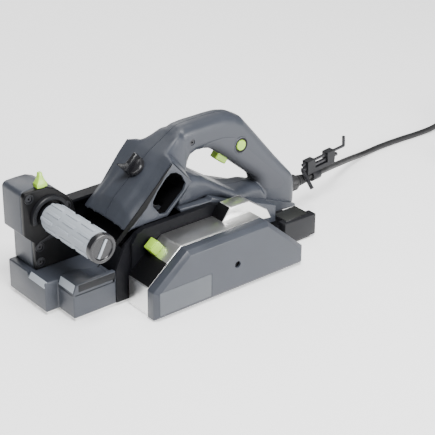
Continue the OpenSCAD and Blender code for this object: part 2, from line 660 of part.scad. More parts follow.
// the drum carries one blade, clamped in a slot
drum_body_r = drum_r - 0.9;
slot_w = 7;
slot_z = drum_z + drum_r - 15; // floor of the blade's slot
clamp_z = slot_z + 4;         // height of the clamping screws
module cutter_drum() color("#9fa3a8") difference() {
    bar(drum_x, drum_z, drum_body_r, drum_l, drum_rt);
    bar(drum_x, drum_z, shaft_r, drum_l - 1, drum_rt + 1);
    translate([drum_x - slot_w / 2, drum_l - 1, slot_z]) cube([slot_w, planing_w + 2, 20]);
    for (y = blade_ys) translate([drum_x - 14, y, clamp_z]) rotate([0, 90, 0])
        cylinder(h = 14, r = 2, $fn = round_fn);
}
blade_ys = [for (i = [0 : 3]) drum_l + planing_w * (i + 0.5) / 4];
module blade() color("#d4d6d8") {
    translate([drum_x - slot_w / 2, drum_l + 0.2, slot_z]) cube([4.5, planing_w - 0.4, 12.5]);
    translate([drum_x + slot_w / 2 - 2.4, drum_l + 0.2, slot_z]) cube([2.4, planing_w - 0.4, 14.8]);
}
module blade_screws() color("#6f7378") for (y = blade_ys) translate([drum_x - 14, y, clamp_z])
    rotate([0, 90, 0]) cylinder(h = 14 - slot_w / 2, r = 2, $fn = round_fn);
module drum_shaft() color("#9a9da1") bar(drum_x, drum_z, shaft_r, pulley_l - 2, body_w - 2);
module drum_guard() color("#34373c") {
    plate([[drum_x - 30, 4], [drum_x + 24, 4], [drum_x + 40, 44], [drum_x + 38, 56], [drum_x - 18, 56],
        [drum_x - 30, 42]], body_w + 0.3, body_w + guard_t);
    bar(guard_x, guard_z, 2.5, body_w - 3.5, body_w + 1);
}

// ---- electrics ----
module electronics() color("#2d4a35") block(body_len - 76, body_len - 34, 34, 64, deck_z + 0.5, heel_h - 1);
module switch() color("#1b1c1e") trigger_frame() translate([-16, -6, 16.5]) cube([16.5, 12, 10]);
module trigger() color("#8cc63f") trigger_frame()
    translate([-trigger_l / 2, -trigger_w / 2, -trigger_out]) cube([trigger_l, trigger_w, trigger_out + trigger_inner]);
module lock_button() color("#8cc63f") {
    bar(lock_at[0], lock_at[1], lock_r, handle_l - 1.5, seam_y - 12);
    bar(lock_at[0], lock_at[1], 3, seam_y - 12.5, handle_r - 11);
}
module lead_socket() color("#1b1c1e") translate([body_len - 22, seam_y, lead_z]) rotate([0, 90, 0]) difference() {
    cylinder(h = 21.5, r = socket_r, $fn = round_fn);
    translate([0, 0, 4]) cylinder(h = 20, r = 7, $fn = round_fn);
}

// ---- mains lead ----
lead_r = lead_d / 2;
exit_x = body_len + 30;
module lead_connector() color("#1b1c1e") translate([body_len - 18, seam_y, lead_z]) rotate([0, 90, 0]) {
    cylinder(h = 18, r = 7, $fn = round_fn);
    translate([0, 0, 18]) cylinder(h = 10, r = 9, $fn = round_fn);
    translate([0, 0, 28]) cylinder(h = 20, r1 = 7, r2 = lead_r + 0.6, $fn = round_fn);
}
// the lead's way from its connector to the coil
coil_x = 700;
coil_y = 54;
coil_out = 54;                // outer radius of the coil
coil_in = 26;
coil_h = 4 * lead_d;          // four layers of turns
lead_way = [[exit_x, seam_y, lead_z], [376, 43, 41.5], [390, 48, 38.5], [415, 61, 31], [445, 76, 22],
    [476, 91, 13], [504, 102, 6], [527, 107, 3.6], [545, 108.5, 3.5], [580, 108.5, 3.5], [614, 107, 3.5],
    [640, 105.5, 6], [665, 104.8, 15], [686, 104.6, 23], [700, 104.5, 24.5]];
plug_way = [[700, 3.5, 3.5], [688, 3.5, 3.8], [675, 3.5, 6], [662, 3.5, 10], [650, 3.5, 12.6], [642, 3.5, 13]];
function unit(v) = v / norm(v);
function tangent(p, i) = unit(p[min(i + 1, len(p) - 1)] - p[max(i - 1, 0)]);
// points between the chosen ones, on a smooth curve through them
function curve_point(p, i, t) = let (a = p[max(i - 1, 0)], b = p[i], c = p[i + 1], d = p[min(i + 2, len(p) - 1)])
    0.5 * (2 * b + (c - a) * t + (2 * a - 5 * b + 4 * c - d) * t * t + (3 * b - a - 3 * c + d) * t * t * t);
function smooth_way(p, n) = concat([for (i = [0 : len(p) - 2], k = [0 : n - 1]) curve_point(p, i, k / n)],
    [p[len(p) - 1]]);
lead_sides = 10;
module tube(way, r) {
    n = len(way);
    rings = [for (i = [0 : n - 1]) let (t = tangent(way, i), s = unit(cross([0, 0, 1], t)), u = cross(t, s))
        for (k = [0 : lead_sides - 1]) way[i] + r * (cos(360 * k / lead_sides) * s
            + sin(360 * k / lead_sides) * u)];
    polyhedron(points = rings, faces = concat(
        [[for (k = [lead_sides - 1 : -1 : 0]) k]],
        [for (i = [0 : n - 2], k = [0 : lead_sides - 1]) let (a = i * lead_sides, b = (k + 1) % lead_sides)
            [a + k, a + b, a + lead_sides + b, a + lead_sides + k]],
        [[for (k = [0 : lead_sides - 1]) (n - 1) * lead_sides + k]]), convexity = 6);
}
tube_r = lead_r - 0.02;
module lead_tube() color("#1b1c1e") {
    tube(smooth_way(lead_way, 2), tube_r);
    tube(smooth_way(plug_way, 2), tube_r);
}
module lead_coil() color("#1b1c1e") translate([coil_x, coil_y, 0]) rotate_extrude($fn = round_fn)
    polygon([[coil_in + 3, 0], [coil_out - 3, 0], [coil_out, 3], [coil_out, coil_h - 3],
        [coil_out - 3, coil_h], [coil_in + 3, coil_h], [coil_in, coil_h - 3], [coil_in, 3]]);
module coil_tie() color("#3a3d44") translate([coil_x, coil_y, 0]) rotate([0, 0, -30]) difference() {
    translate([coil_in - 2.6, -7, 0]) cube([coil_out - coil_in + 4, 14, coil_h + 1.6]);
    translate([coil_in - 1.2, -8, -1]) cube([coil_out - coil_in + 1.5, 16, coil_h + 1.1]);
}
module mains_plug() color("#1b1c1e") translate([642, 3.5, 13]) rotate([0, -90, 0]) {
    cylinder(h = 24, r1 = lead_r + 0.8, r2 = 6.5, $fn = round_fn);
    intersection() {
        translate([0, 0, 23]) cylinder(h = 32, r = 18, $fn = round_fn);
        translate([-12.5, -18, 20]) cube([25, 36, 40]);
    }
    for (side = [-1, 1]) translate([0, side * 9.5, 54]) cylinder(h = 19, r = 2.4, $fn = round_fn);
}
// holder for two hex keys, clipped on the lead
module clip_frame() translate([exit_x + 10, seam_y + 0.6, lead_z + 0.4]) rotate([0, 0, 4]) rotate([0, -3, 0]) children();
module key_clip() color("#2b2d31") clip_frame() difference() {
    union() {
        rotate([0, 90, 0]) cylinder(h = 12, r = lead_r + 3, center = true, $fn = round_fn);
        translate([-14, -4, 5]) cube([44, 8, 5]);
        for (x = [-14, 18]) translate([x, -4.5, 9.5]) cube([12, 9, 12]);
    }
    rotate([0, 90, 0]) cylinder(h = 60, r = lead_r + 0.6, center = true, $fn = round_fn);
    for (k = keys) translate([-40, k[0], k[1]]) rotate([0, 90, 0]) cylinder(h = 100, r = k[2], $fn = 6);
}
keys = [[0, 12.5, 2.5], [0, 18.3, 2]];
module hex_keys() color("#8f9296") clip_frame() {
    for (i = [0, 1]) {
        k = keys[i];
        translate([-19, k[0], k[1]]) rotate([0, 90, 0]) cylinder(h = 56 + 12 * i, r = k[2] - 0.02, $fn = 6);
    }
    translate([-19, 0, 12.5]) rotate([140, 0, 0]) cylinder(h = 24, r = 2.48, $fn = 6);
    translate([49, 0, 18.3]) cylinder(h = 12, r = 1.98, $fn = 6);
}

place() base_frame();
place() rear_sole();
place() sole_screws();
place() toe_housing();
place() post_shell();
place() post_cover();
place() post_screws();
place() left_shell();
place() right_shell();
place() shell_screws();
place() left_grip();
place() right_grip();
place() left_port_cover();
place() right_port_cover();
place() chip_duct();
place() rear_housing();
place() rating_plate();
place() belt_housing();
place() belt_cover();
place() cover_screw();
place() name_plate();
place() stator();
place() brush_holder();
place() brushes();
place() ball_bearings();
place() drive_belt();
place() electronics();
place() switch();
place() lead_socket();
place() rotor();
place() motor_shaft();
place() fan();
place() motor_pulley();
place() cutter_drum();
place() drum_shaft();
place() blade();
place() blade_screws();
place() drum_pulley();
place() front_sole();
place() lift_rod();
place() grip_core();
place() grip_sleeve();
place() grip_cap();
place() depth_spindle();
place() depth_lock();
place() trigger();
place() lock_button();
place() spindle_lock();
place() selector_knob();
place() chip_deflector();
place() drum_guard();
place() parking_shoe();
place() shoe_pin();
place() lead_connector();
place() lead_tube();
place() lead_coil();
place() coil_tie();
place() mains_plug();
place() key_clip();
place() hex_keys();
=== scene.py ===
"""Electric hand planer: the finished look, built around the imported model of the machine."""

import logging
import math
from dataclasses import dataclass, field
from enum import Enum
from typing import Sequence

import bmesh
import bpy
from mathutils import Matrix, Vector


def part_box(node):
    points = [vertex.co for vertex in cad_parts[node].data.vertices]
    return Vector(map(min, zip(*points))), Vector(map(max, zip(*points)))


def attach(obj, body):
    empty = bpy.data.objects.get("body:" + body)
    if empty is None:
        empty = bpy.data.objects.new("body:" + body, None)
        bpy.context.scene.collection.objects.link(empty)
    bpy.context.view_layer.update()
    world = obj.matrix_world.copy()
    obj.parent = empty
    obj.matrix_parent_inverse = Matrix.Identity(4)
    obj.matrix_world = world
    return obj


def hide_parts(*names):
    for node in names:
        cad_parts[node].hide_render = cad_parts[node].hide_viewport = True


LOG = logging.getLogger("planer")
Items = bpy.types.bpy_prop_collection
MM = 0.001
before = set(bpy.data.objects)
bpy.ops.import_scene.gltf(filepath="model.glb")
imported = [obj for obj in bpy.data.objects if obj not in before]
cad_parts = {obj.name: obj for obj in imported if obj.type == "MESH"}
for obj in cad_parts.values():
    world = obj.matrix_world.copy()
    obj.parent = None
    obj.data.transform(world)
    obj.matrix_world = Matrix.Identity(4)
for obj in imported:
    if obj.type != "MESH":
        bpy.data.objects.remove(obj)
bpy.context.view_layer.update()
TOE = Vector((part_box("toe_housing")[0].x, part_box("toe_housing")[0].y, 0.0))


def at(x: float, y: float, z: float) -> Vector:
    """A point in metres from millimetres behind the toe, right of the left flank and above the sole.

    Args:
        x: millimetres behind the toe.
        y: millimetres right of the left flank.
        z: millimetres above the sole.

    Returns:
        The point in the frame.
    """
    return TOE + Vector((x, y, z)) * MM


# ---------------------------------------------------------------- finishes


class Grain(Enum):
    """How a surface is textured."""

    MOULDED = "moulded"
    POWDER = "powder"
    BLASTED = "blasted"
    BRUSHED = "brushed"
    RUBBER = "rubber"
    SMOOTH = "smooth"
    WOUND = "wound"


@dataclass(frozen=True)
class Finish:
    """One finish: its colour, sheen and surface texture.

    Attributes:
        name: the material's name.
        slot: the record's material slot that it belongs to; it is not used.
        colour: linear base colour.
        rough: mean roughness.
        grain: the kind of texture.
        metal: 1 for bare metal.
        scale: texture cells in each metre.
        depth: height of the texture in metres.
        spread: how far the roughness and the tone vary.
        coat: strength of a clear coat.
        edge: how much lighter the bright end of the tone's variation gets.
        shine: strength of the mirror-like part of the reflection.
    """

    name: str
    slot: str
    colour: tuple[float, float, float]
    rough: float
    grain: Grain
    metal: float = 0.0
    scale: float = 2600.0
    depth: float = 0.00004
    spread: float = 0.12
    coat: float = 0.0
    edge: float = 0.10
    shine: float = 0.5

    def build(self) -> bpy.types.Material:
        """Builds the material's nodes once.

        Returns:
            The material.
        """
        made = bpy.data.materials.get(self.name)
        if made:
            return made
        made = bpy.data.materials.new(self.name)
        made.use_nodes = True
        nodes, links = made.node_tree.nodes, made.node_tree.links
        shader = nodes["Principled BSDF"]
        shader.inputs["Metallic"].default_value = self.metal
        shader.inputs["Coat Weight"].default_value = self.coat
        shader.inputs["Coat Roughness"].default_value = 0.18
        shader.inputs["Specular IOR Level"].default_value = self.shine
        where = nodes.new("ShaderNodeTexCoord")
        stretch = nodes.new("ShaderNodeMapping")
        stretch.inputs["Scale"].default_value = {
            Grain.BRUSHED: (0.04, 1.0, 1.0),
            Grain.WOUND: (1.0, 0.05, 1.0),
        }.get(self.grain, (1.0, 1.0, 1.0))
        links.new(where.outputs["Object"], stretch.inputs["Vector"])
        fine = self._noise(nodes, links, stretch, self.scale, 2.0)
        broad = self._noise(nodes, links, stretch, 34.0, 3.0)
        self._tone(nodes, links, shader, broad, fine)
        self._sheen(nodes, links, shader, broad, fine)
        self._relief(nodes, links, shader, fine, stretch)
        return made

    def _noise(self, nodes: Items, links: Items, source: bpy.types.Node,
               scale: float, detail: float) -> bpy.types.Node:
        """Adds a noise texture.

        Returns:
            The noise node.

        Args:
            nodes: the material's nodes.
            links: the material's links.
            source: the node that gives the place.
            scale: cells in each metre.
            detail: octaves of detail.

        Returns:
            The noise node.
        """
        noise = nodes.new("ShaderNodeTexNoise")
        noise.inputs["Scale"].default_value = scale
        noise.inputs["Detail"].default_value = detail
        links.new(source.outputs["Vector"], noise.inputs["Vector"])
        return noise

    def _tone(self, nodes: Items, links: Items, shader: bpy.types.Node,
              broad: bpy.types.Node, fine: bpy.types.Node) -> None:
        """Varies the base colour a little over the surface.

        Args:
            nodes: the material's nodes.
            links: the material's links.
            shader: the surface node.
            broad: the broad noise.
            fine: the fine noise.
        """
        ramp = nodes.new("ShaderNodeValToRGB")
        low = [c * (1.0 - self.spread) for c in self.colour]
        high = [min(1.0, c * (1.0 + self.spread) + 0.01 * self.edge) for c in self.colour]
        ramp.color_ramp.elements[0].position = 0.3
        ramp.color_ramp.elements[0].color = (*low, 1.0)
        ramp.color_ramp.elements[1].position = 0.7
        ramp.color_ramp.elements[1].color = (*high, 1.0)
        mix = nodes.new("ShaderNodeMath")
        mix.operation = "MULTIPLY_ADD"
        mix.inputs[1].default_value = 0.35
        half = nodes.new("ShaderNodeMath")
        half.operation = "MULTIPLY"
        half.inputs[1].default_value = 0.65
        links.new(broad.outputs["Fac"], half.inputs[0])
        links.new(fine.outputs["Fac"], mix.inputs[0])
        links.new(half.outputs[0], mix.inputs[2])
        links.new(mix.outputs[0], ramp.inputs["Fac"])
        links.new(ramp.outputs["Color"], shader.inputs["Base Color"])

    def _sheen(self, nodes: Items, links: Items, shader: bpy.types.Node,
               broad: bpy.types.Node, fine: bpy.types.Node) -> None:
        """Varies the roughness with rubbed and dull patches.

        Args:
            nodes: the material's nodes.
            links: the material's links.
            shader: the surface node.
            broad: the broad noise.
            fine: the fine noise; it is not used.
        """
        span = nodes.new("ShaderNodeMapRange")
        span.inputs["From Min"].default_value = 0.3
        span.inputs["From Max"].default_value = 0.7
        span.inputs["To Min"].default_value = max(0.03, self.rough * (1.0 - self.spread))
        span.inputs["To Max"].default_value = min(1.0, self.rough * (1.0 + self.spread))
        links.new(broad.outputs["Fac"], span.inputs["Value"])
        links.new(span.outputs["Result"], shader.inputs["Roughness"])

    def _relief(self, nodes: Items, links: Items, shader: bpy.types.Node,
                fine: bpy.types.Node, stretch: bpy.types.Node) -> None:
        """Adds the surface's fine relief as a bump.

        Args:
            nodes: the material's nodes.
            links: the material's links.
            shader: the surface node.
            fine: the fine noise.
            stretch: the node that stretches the pattern.
        """
        height = fine.outputs["Fac"]
        if self.grain in (Grain.MOULDED, Grain.POWDER, Grain.RUBBER):
            cells = nodes.new("ShaderNodeTexVoronoi")
            cells.inputs["Scale"].default_value = self.scale * 0.6
            links.new(stretch.outputs["Vector"], cells.inputs["Vector"])
            join = nodes.new("ShaderNodeMath")
            join.operation = "ADD"
            links.new(fine.outputs["Fac"], join.inputs[0])
            links.new(cells.outputs["Distance"], join.inputs[1])
            height = join.outputs[0]
        bump = nodes.new("ShaderNodeBump")
        bump.inputs["Strength"].default_value = 0.55
        bump.inputs["Distance"].default_value = self.depth
        links.new(height, bump.inputs["Height"])
        links.new(bump.outputs["Normal"], shader.inputs["Normal"])


BLUE_GREY = Finish("blue_grey_moulding", "blue_grey_plastic", (0.036, 0.041, 0.053), 0.42, Grain.MOULDED,
                   coat=0.05)
NEAR_BLACK = Finish("near_black_moulding", "dark_plastic", (0.008, 0.0084, 0.0105), 0.46, Grain.MOULDED,
                    shine=0.3)
BLACK_CAST = Finish("black_powder_coat", "black_casting", (0.004, 0.0042, 0.006), 0.5, Grain.POWDER,
                    shine=0.16, scale=1500, depth=0.00008)
BRIGHT = Finish("satin_aluminium", "bright_casting", (0.78, 0.78, 0.77), 0.3, Grain.BLASTED, metal=1.0,
                scale=3800, spread=0.06)
MACHINED = Finish("machined_sole", "bright_casting", (0.70, 0.70, 0.69), 0.26, Grain.BRUSHED, metal=1.0,
                  scale=1800, spread=0.08)
PORT_GREY = Finish("port_grey", "port_frame", (0.08, 0.088, 0.10), 0.42, Grain.MOULDED)
GRIP_GREY = Finish("grip_grey", "grip_grey", (0.030, 0.033, 0.040), 0.5, Grain.MOULDED)
SOFT_GRIP = Finish("soft_grip", "soft_grip", (0.014, 0.0155, 0.019), 0.58, Grain.RUBBER, scale=1900,
                   depth=0.00008)
GREEN = Finish("lime_green", "green_plastic", (0.36, 0.62, 0.045), 0.33, Grain.SMOOTH, coat=0.35,
               spread=0.05, depth=0.00001)
GLOSS_BLACK = Finish("gloss_black", "black_gloss", (0.010, 0.010, 0.012), 0.27, Grain.SMOOTH, coat=0.2,
                     depth=0.00001)
STEEL = Finish("ground_steel", "steel", (0.55, 0.55, 0.56), 0.28, Grain.BRUSHED, metal=1.0, scale=2400)
DARK_STEEL = Finish("blackened_steel", "dark_steel", (0.06, 0.06, 0.065), 0.38, Grain.BLASTED, metal=0.8,
                    scale=3200)
COPPER = Finish("varnished_copper", "copper", (0.42, 0.17, 0.07), 0.3, Grain.WOUND, metal=0.9, scale=1600,
                depth=0.0003)
RUBBER = Finish("black_rubber", "rubber", (0.012, 0.012, 0.013), 0.55, Grain.RUBBER, scale=2300)
CIRCUIT = Finish("potted_circuit", "circuit", (0.02, 0.09, 0.04), 0.4, Grain.SMOOTH, spread=0.3)
DUCT_BLACK = Finish("duct_black", "dark_plastic", (0.002, 0.002, 0.0025), 0.75, Grain.MOULDED, shine=0.06)
# Near-black finish for dark parts (the post's face, the parting line, the button's well) and for the thin
# sheets of painted shade on the belt case's slopes.
DARK_PARTS_AND_PAINTED_SHADE = Finish("dark_parts_and_painted_shade", "dark_plastic", (0.003, 0.003, 0.0035), 0.35, Grain.SMOOTH, shine=0.2,
               depth=0.00001)
PLATE = Finish("blank_plate", "plate_silver", (0.05, 0.053, 0.05), 0.36, Grain.BRUSHED, metal=0.6, scale=2200)


# ---------------------------------------------------------------- the camera and the light


@dataclass
class Studio:
    """Camera, lights and floor, at the angle the machine is looked at from."""

    eye: Vector = field(default_factory=lambda: at(-659.37, -1049.14, 754.57))
    azimuth: float = -38.49
    elevation: float = 26.69
    lens: float = 120.97
    shift_x: float = 0.0374
    shift_y: float = -0.0289

    def camera(self) -> None:
        """Sets the camera."""
        data = bpy.data.cameras.new("camera")
        data.lens = self.lens
        data.sensor_width = 36.0
        data.shift_x = self.shift_x
        data.shift_y = self.shift_y
        data.clip_start = 0.05
        data.clip_end = 30.0
        camera = bpy.data.objects.new("camera", data)
        bpy.context.scene.collection.objects.link(camera)
        camera.location = self.eye
        camera.rotation_euler = (math.radians(90 - self.elevation), 0.0, math.radians(self.azimuth))
        bpy.context.scene.camera = camera

    def lamp(self, name: str, place: Vector, aim: Vector, size: float, power: float) -> None:
        """Adds one soft area light.

        Args:
            name: the light's name.
            place: where it stands.
            aim: what it points at.
            size: its side in metres.
            power: its power in watts.
        """
        data = bpy.data.lights.new(name, "AREA")
        data.shape = "SQUARE"
        data.size = size
        data.energy = power
        light = bpy.data.objects.new(name, data)
        bpy.context.scene.collection.objects.link(light)
        light.location = place
        light.rotation_euler = (place - aim).to_track_quat("Z", "Y").to_euler()

    def light(self) -> None:
        """Hangs soft lights above and to both sides, over a pale world."""
        middle = Vector((0.0, 0.0, 0.08))
        self.lamp("key", Vector((-0.30, -0.70, 1.55)), middle, 0.6, 42.0)
        self.lamp("top", Vector((0.3, 0.3, 1.8)), middle, 1.2, 12.0)
        self.lamp("side", Vector((0.55, -1.5, 0.5)), middle, 0.7, 25.0)
        self.lamp("rear", Vector((0.6, 1.5, 1.1)), middle, 1.0, 10.0)
        world = bpy.data.worlds.new("studio")
        world.use_nodes = True
        world.node_tree.nodes["Background"].inputs["Color"].default_value = (1.0, 1.0, 1.0, 1.0)
        world.node_tree.nodes["Background"].inputs["Strength"].default_value = 0.24
        bpy.context.scene.world = world

    def floor(self) -> None:
        """Lays the plain pale floor."""
        bm = bmesh.new()
        bmesh.ops.create_grid(bm, x_segments=1, y_segments=1, size=6.0)
        mesh = bpy.data.meshes.new("floor")
        bm.to_mesh(mesh)
        bm.free()
        floor = bpy.data.objects.new("floor", mesh)
        bpy.context.scene.collection.objects.link(floor)
        paint = bpy.data.materials.new("pale_floor")
        paint.use_nodes = True
        paint.node_tree.nodes["Principled BSDF"].inputs["Base Color"].default_value = (0.97, 0.97, 0.97, 1.0)
        paint.node_tree.nodes["Principled BSDF"].inputs["Emission Color"].default_value = (1.0, 1.0, 1.0, 1.0)
        paint.node_tree.nodes["Principled BSDF"].inputs["Emission Strength"].default_value = 0.72
        paint.node_tree.nodes["Principled BSDF"].inputs["Roughness"].default_value = 0.8
        mesh.materials.append(paint)


# ---------------------------------------------------------------- modelling tools


def link(bm: bmesh.types.BMesh, name: str, finish: Finish, body: str,
         flat_over: float = 35.0) -> bpy.types.Object:
    """Turns a bmesh into a piece that rides on a body.

    Args:
        bm: the piece's mesh, which is freed.
        name: the piece's name.
        finish: what it is made of.
        body: the CAD body that it rides on.
        flat_over: edges that turn by more than this many degrees stay crisp.

    Returns:
        The piece.
    """
    bmesh.ops.remove_doubles(bm, verts=bm.verts, dist=0.000002)
    bmesh.ops.recalc_face_normals(bm, faces=bm.faces)
    mesh = bpy.data.meshes.new(name)
    bm.to_mesh(mesh)
    bm.free()
    mesh.polygons.foreach_set("use_smooth", [True] * len(mesh.polygons))
    mesh.set_sharp_from_angle(angle=math.radians(flat_over))
    mesh.materials.append(finish.build())
    piece = bpy.data.objects.new(name, mesh)
    bpy.context.scene.collection.objects.link(piece)
    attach(piece, body)
    LOG.info("%s: %d faces", name, len(mesh.polygons))
    return piece


def stand_for(piece: bpy.types.Object, *nodes: str) -> bpy.types.Object:
    """Lets a piece stand for CAD nodes, whose plain shapes aren't shown.

    Args:
        piece: the finished piece.
        nodes: the CAD nodes that it stands for.

    Returns:
        The piece.
    """
    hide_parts(*nodes)
    return piece


def new_verts(geom: dict) -> list:
    """The vertices in an operator's result.

    Args:
        geom: an operator's result.

    Returns:
        Its vertices.
    """
    return [g for g in geom["geom"] if isinstance(g, bmesh.types.BMVert)]


def loft(rings: Sequence[Sequence[Vector]], into: bmesh.types.BMesh | None = None) -> bmesh.types.BMesh:
    """Draws one closed outline through a row of others, by extruding it and settling each new ring in place.

    Args:
        rings: outlines with the same number of points, from one end to the other.
        into: a bmesh to add to.

    Returns:
        The bmesh, with both ends closed.
    """
    bm = into if into is not None else bmesh.new()
    ring = [bm.verts.new(point) for point in rings[0]]
    edges = [bm.edges.new((a, b)) for a, b in zip(ring, ring[1:] + ring[:1])]
    bmesh.ops.contextual_create(bm, geom=ring)
    for points in rings[1:]:
        grown = bmesh.ops.extrude_edge_only(bm, edges=edges)
        fresh = set(new_verts(grown))
        ring = [next(e.other_vert(v) for e in v.link_edges if e.other_vert(v) in fresh) for v in ring]
        for vert, point in zip(ring, points):
            vert.co = point
        edges = [bm.edges.get((a, b)) for a, b in zip(ring, ring[1:] + ring[:1])]
    bmesh.ops.contextual_create(bm, geom=ring)
    return bm


def soft_square(half_u: float, half_v: float, corner: float, steps: int = 5) -> list[tuple[float, float]]:
    """A rounded rectangle's outline.

    Args:
        half_u: half its width.
        half_v: half its height.
        corner: the corners' radius.
        steps: segments in each corner.

    Returns:
        The outline's points, anticlockwise.
    """
    corner = min(corner, half_u * 0.999, half_v * 0.999)
    points = []
    for quarter, (side_u, side_v) in enumerate(((1, 1), (-1, 1), (-1, -1), (1, -1))):
        for step in range(steps + 1):
            turn = math.radians(90 * (quarter + step / steps))
            points.append((side_u * (half_u - corner) + corner * math.cos(turn),
                           side_v * (half_v - corner) + corner * math.sin(turn)))
    return points


def soften(bm: bmesh.types.BMesh, width: float, segments: int = 3, over: float = 28.0,
           shortest: float = 2.2) -> None:
    """Rounds a mesh's crisp edges.

    Args:
        bm: the mesh.
        width: the rounding's width in metres.
        segments: the rounding's segments.
        over: only edges that turn by more than this many degrees are rounded.
        shortest: edges shorter than this many widths are left alone.
    """
    turn = math.radians(over)
    edges = [e for e in bm.edges if e.is_manifold and e.calc_face_angle(0.0) > turn
             and e.calc_length() > shortest * width]
    bmesh.ops.bevel(bm, geom=edges, offset=width, offset_type="OFFSET", segments=segments, profile=0.5,
                    affect="EDGES", clamp_overlap=False, material=-1)


def bar_of(bm: bmesh.types.BMesh, start: Vector, end: Vector, radius: float, sides: int = 32,
           radius_end: float | None = None) -> list:
    """Adds a round bar between two points.

    Args:
        bm: the mesh to add to.
        start: the middle of one end.
        end: the middle of the other.
        radius: its radius.
        sides: its sides.
        radius_end: its radius at the end, if it tapers.

    Returns:
        The new vertices.
    """
    way = end - start
    turn = way.to_track_quat("Z", "Y").to_matrix().to_4x4()
    place = Matrix.Translation((start + end) / 2) @ turn
    made = bmesh.ops.create_cone(bm, cap_ends=True, segments=sides, radius1=radius,
                                 radius2=radius if radius_end is None else radius_end,
                                 depth=way.length, matrix=place)
    return made["verts"]


def brick(bm: bmesh.types.BMesh, middle: Vector, size: tuple[float, float, float], turn: Matrix | None = None,
          rounding: float = 0.0004, segments: int = 2) -> list:
    """Adds a block with rounded edges.

    Args:
        bm: the mesh to add to.
        middle: its middle.
        size: its size along its own axes.
        turn: how it is turned.
        rounding: its edges' rounding.
        segments: the rounding's segments.

    Returns:
        The new vertices.
    """
    leaned = turn.to_4x4() if turn else Matrix.Identity(4)
    place = Matrix.Translation(middle) @ leaned @ Matrix.Diagonal((*size, 1.0))
    made = bmesh.ops.create_cube(bm, size=1.0, matrix=place)["verts"]
    edges = list({e for v in made for e in v.link_edges})
    grown = bmesh.ops.bevel(bm, geom=edges, offset=rounding, offset_type="OFFSET", segments=segments,
                            profile=0.5, affect="EDGES", clamp_overlap=True, material=-1)
    return list({v for f in grown["faces"] for v in f.verts} | {v for v in made if v.is_valid})


def turned(bm: bmesh.types.BMesh, outline: Sequence[tuple[float, float]], middle: Vector, axis: Vector,
           steps: int = 64) -> None:
    """Spins an outline of (radius, height) points about an axis.

    Args:
        bm: the mesh to add to.
        outline: the outline's points in metres, from the axis out and back to it.
        middle: where height 0 is.
        axis: the direction of the axis.
        steps: segments in the full turn.
    """
    turn = axis.to_track_quat("Z", "Y").to_matrix()
    verts = [bm.verts.new(middle + turn @ Vector((r, 0.0, h))) for r, h in outline]
    edges = [bm.edges.new((a, b)) for a, b in zip(verts, verts[1:])]
    bmesh.ops.spin(bm, geom=verts + edges, cent=middle, axis=axis, angle=math.tau, steps=steps,
                   use_merge=True,
                   dvec=(0.0, 0.0, 0.0))


def ease(t: float) -> float:
    """A smooth step from 0 to 1.

    Args:
        t: the share of the way; it is held between 0 and 1.

    Returns:
        The eased share.
    """
    t = min(1.0, max(0.0, t))
    return t * t * (3.0 - 2.0 * t)


def blend_points(a: Sequence[tuple[float, float]], b: Sequence[tuple[float, float]], share: float) -> list:
    """Points part of the way from one outline to another.

    Args:
        a: the first outline.
        b: the second, with as many points.
        share: how far towards the second.

    Returns:
        The blended outline.
    """
    return [(p[0] + (q[0] - p[0]) * share, p[1] + (q[1] - p[1]) * share) for p, q in zip(a, b)]


def loose(bm: bmesh.types.BMesh) -> bpy.types.Object:
    """Puts a bmesh, which is freed, on a passing object for a modifier to work on.

    Args:
        bm: the bmesh.

    Returns:
        The passing object.
    """
    bmesh.ops.recalc_face_normals(bm, faces=bm.faces)
    mesh = bpy.data.meshes.new("passing")
    bm.to_mesh(mesh)
    bm.free()
    passing = bpy.data.objects.new("passing", mesh)
    bpy.context.scene.collection.objects.link(passing)
    return passing


def taken(passing: Sequence[bpy.types.Object]) -> bmesh.types.BMesh:
    """The first passing object's shape with its modifiers applied. All of them are removed.

    Returns:
        The shape as a bmesh.

    Args:
        passing: the passing objects.

    Returns:
        The shape as a bmesh.
    """
    found = bmesh.new()
    found.from_object(passing[0], bpy.context.evaluated_depsgraph_get())
    for thing in passing:
        mesh = thing.data
        bpy.data.objects.remove(thing)
        bpy.data.meshes.remove(mesh)
    return found


def cut(bm: bmesh.types.BMesh, *tools: bmesh.types.BMesh, keep: str = "DIFFERENCE") -> bmesh.types.BMesh:
    """Takes other solids out of a solid, or keeps what is common.

    Args:
        bm: the solid.
        tools: the solids to take out.
        keep: the boolean operation.

    Returns:
        What is left.
    """
    passing = [loose(bm)]
    for tool in tools:
        cutter = loose(tool)
        step = passing[0].modifiers.new("cut", "BOOLEAN")
        step.operation = keep
        step.solver = "EXACT"
        step.object = cutter
        passing.append(cutter)
    return taken(passing)


def joined(*parts: bmesh.types.BMesh) -> bmesh.types.BMesh:
    """Puts several meshes, which are freed, into one.

    Args:
        parts: the meshes.

    Returns:
        The one mesh.
    """
    whole = bmesh.new()
    for part in parts:
        passing = bpy.data.meshes.new("passing")
        part.to_mesh(passing)
        part.free()
        whole.from_mesh(passing)
        bpy.data.meshes.remove(passing)
    return whole


def melted(bm: bmesh.types.BMesh, voxel: float, passes: int) -> bmesh.types.BMesh:
    """Runs crossing solids together into one skin and eases its corners.

    Args:
        bm: the crossing solids.
        voxel: the skin's cell size in metres.
        passes: how often the corners are eased.

    Returns:
        The skin.
    """
    passing = loose(bm)
    step = passing.modifiers.new("melt", "REMESH")
    step.mode = "VOXEL"
    step.voxel_size = voxel
    found = taken([passing])
    for _ in range(passes):
        bmesh.ops.smooth_vert(found, verts=found.verts, factor=0.5, use_axis_x=True, use_axis_y=True,
                              use_axis_z=True)
    return found


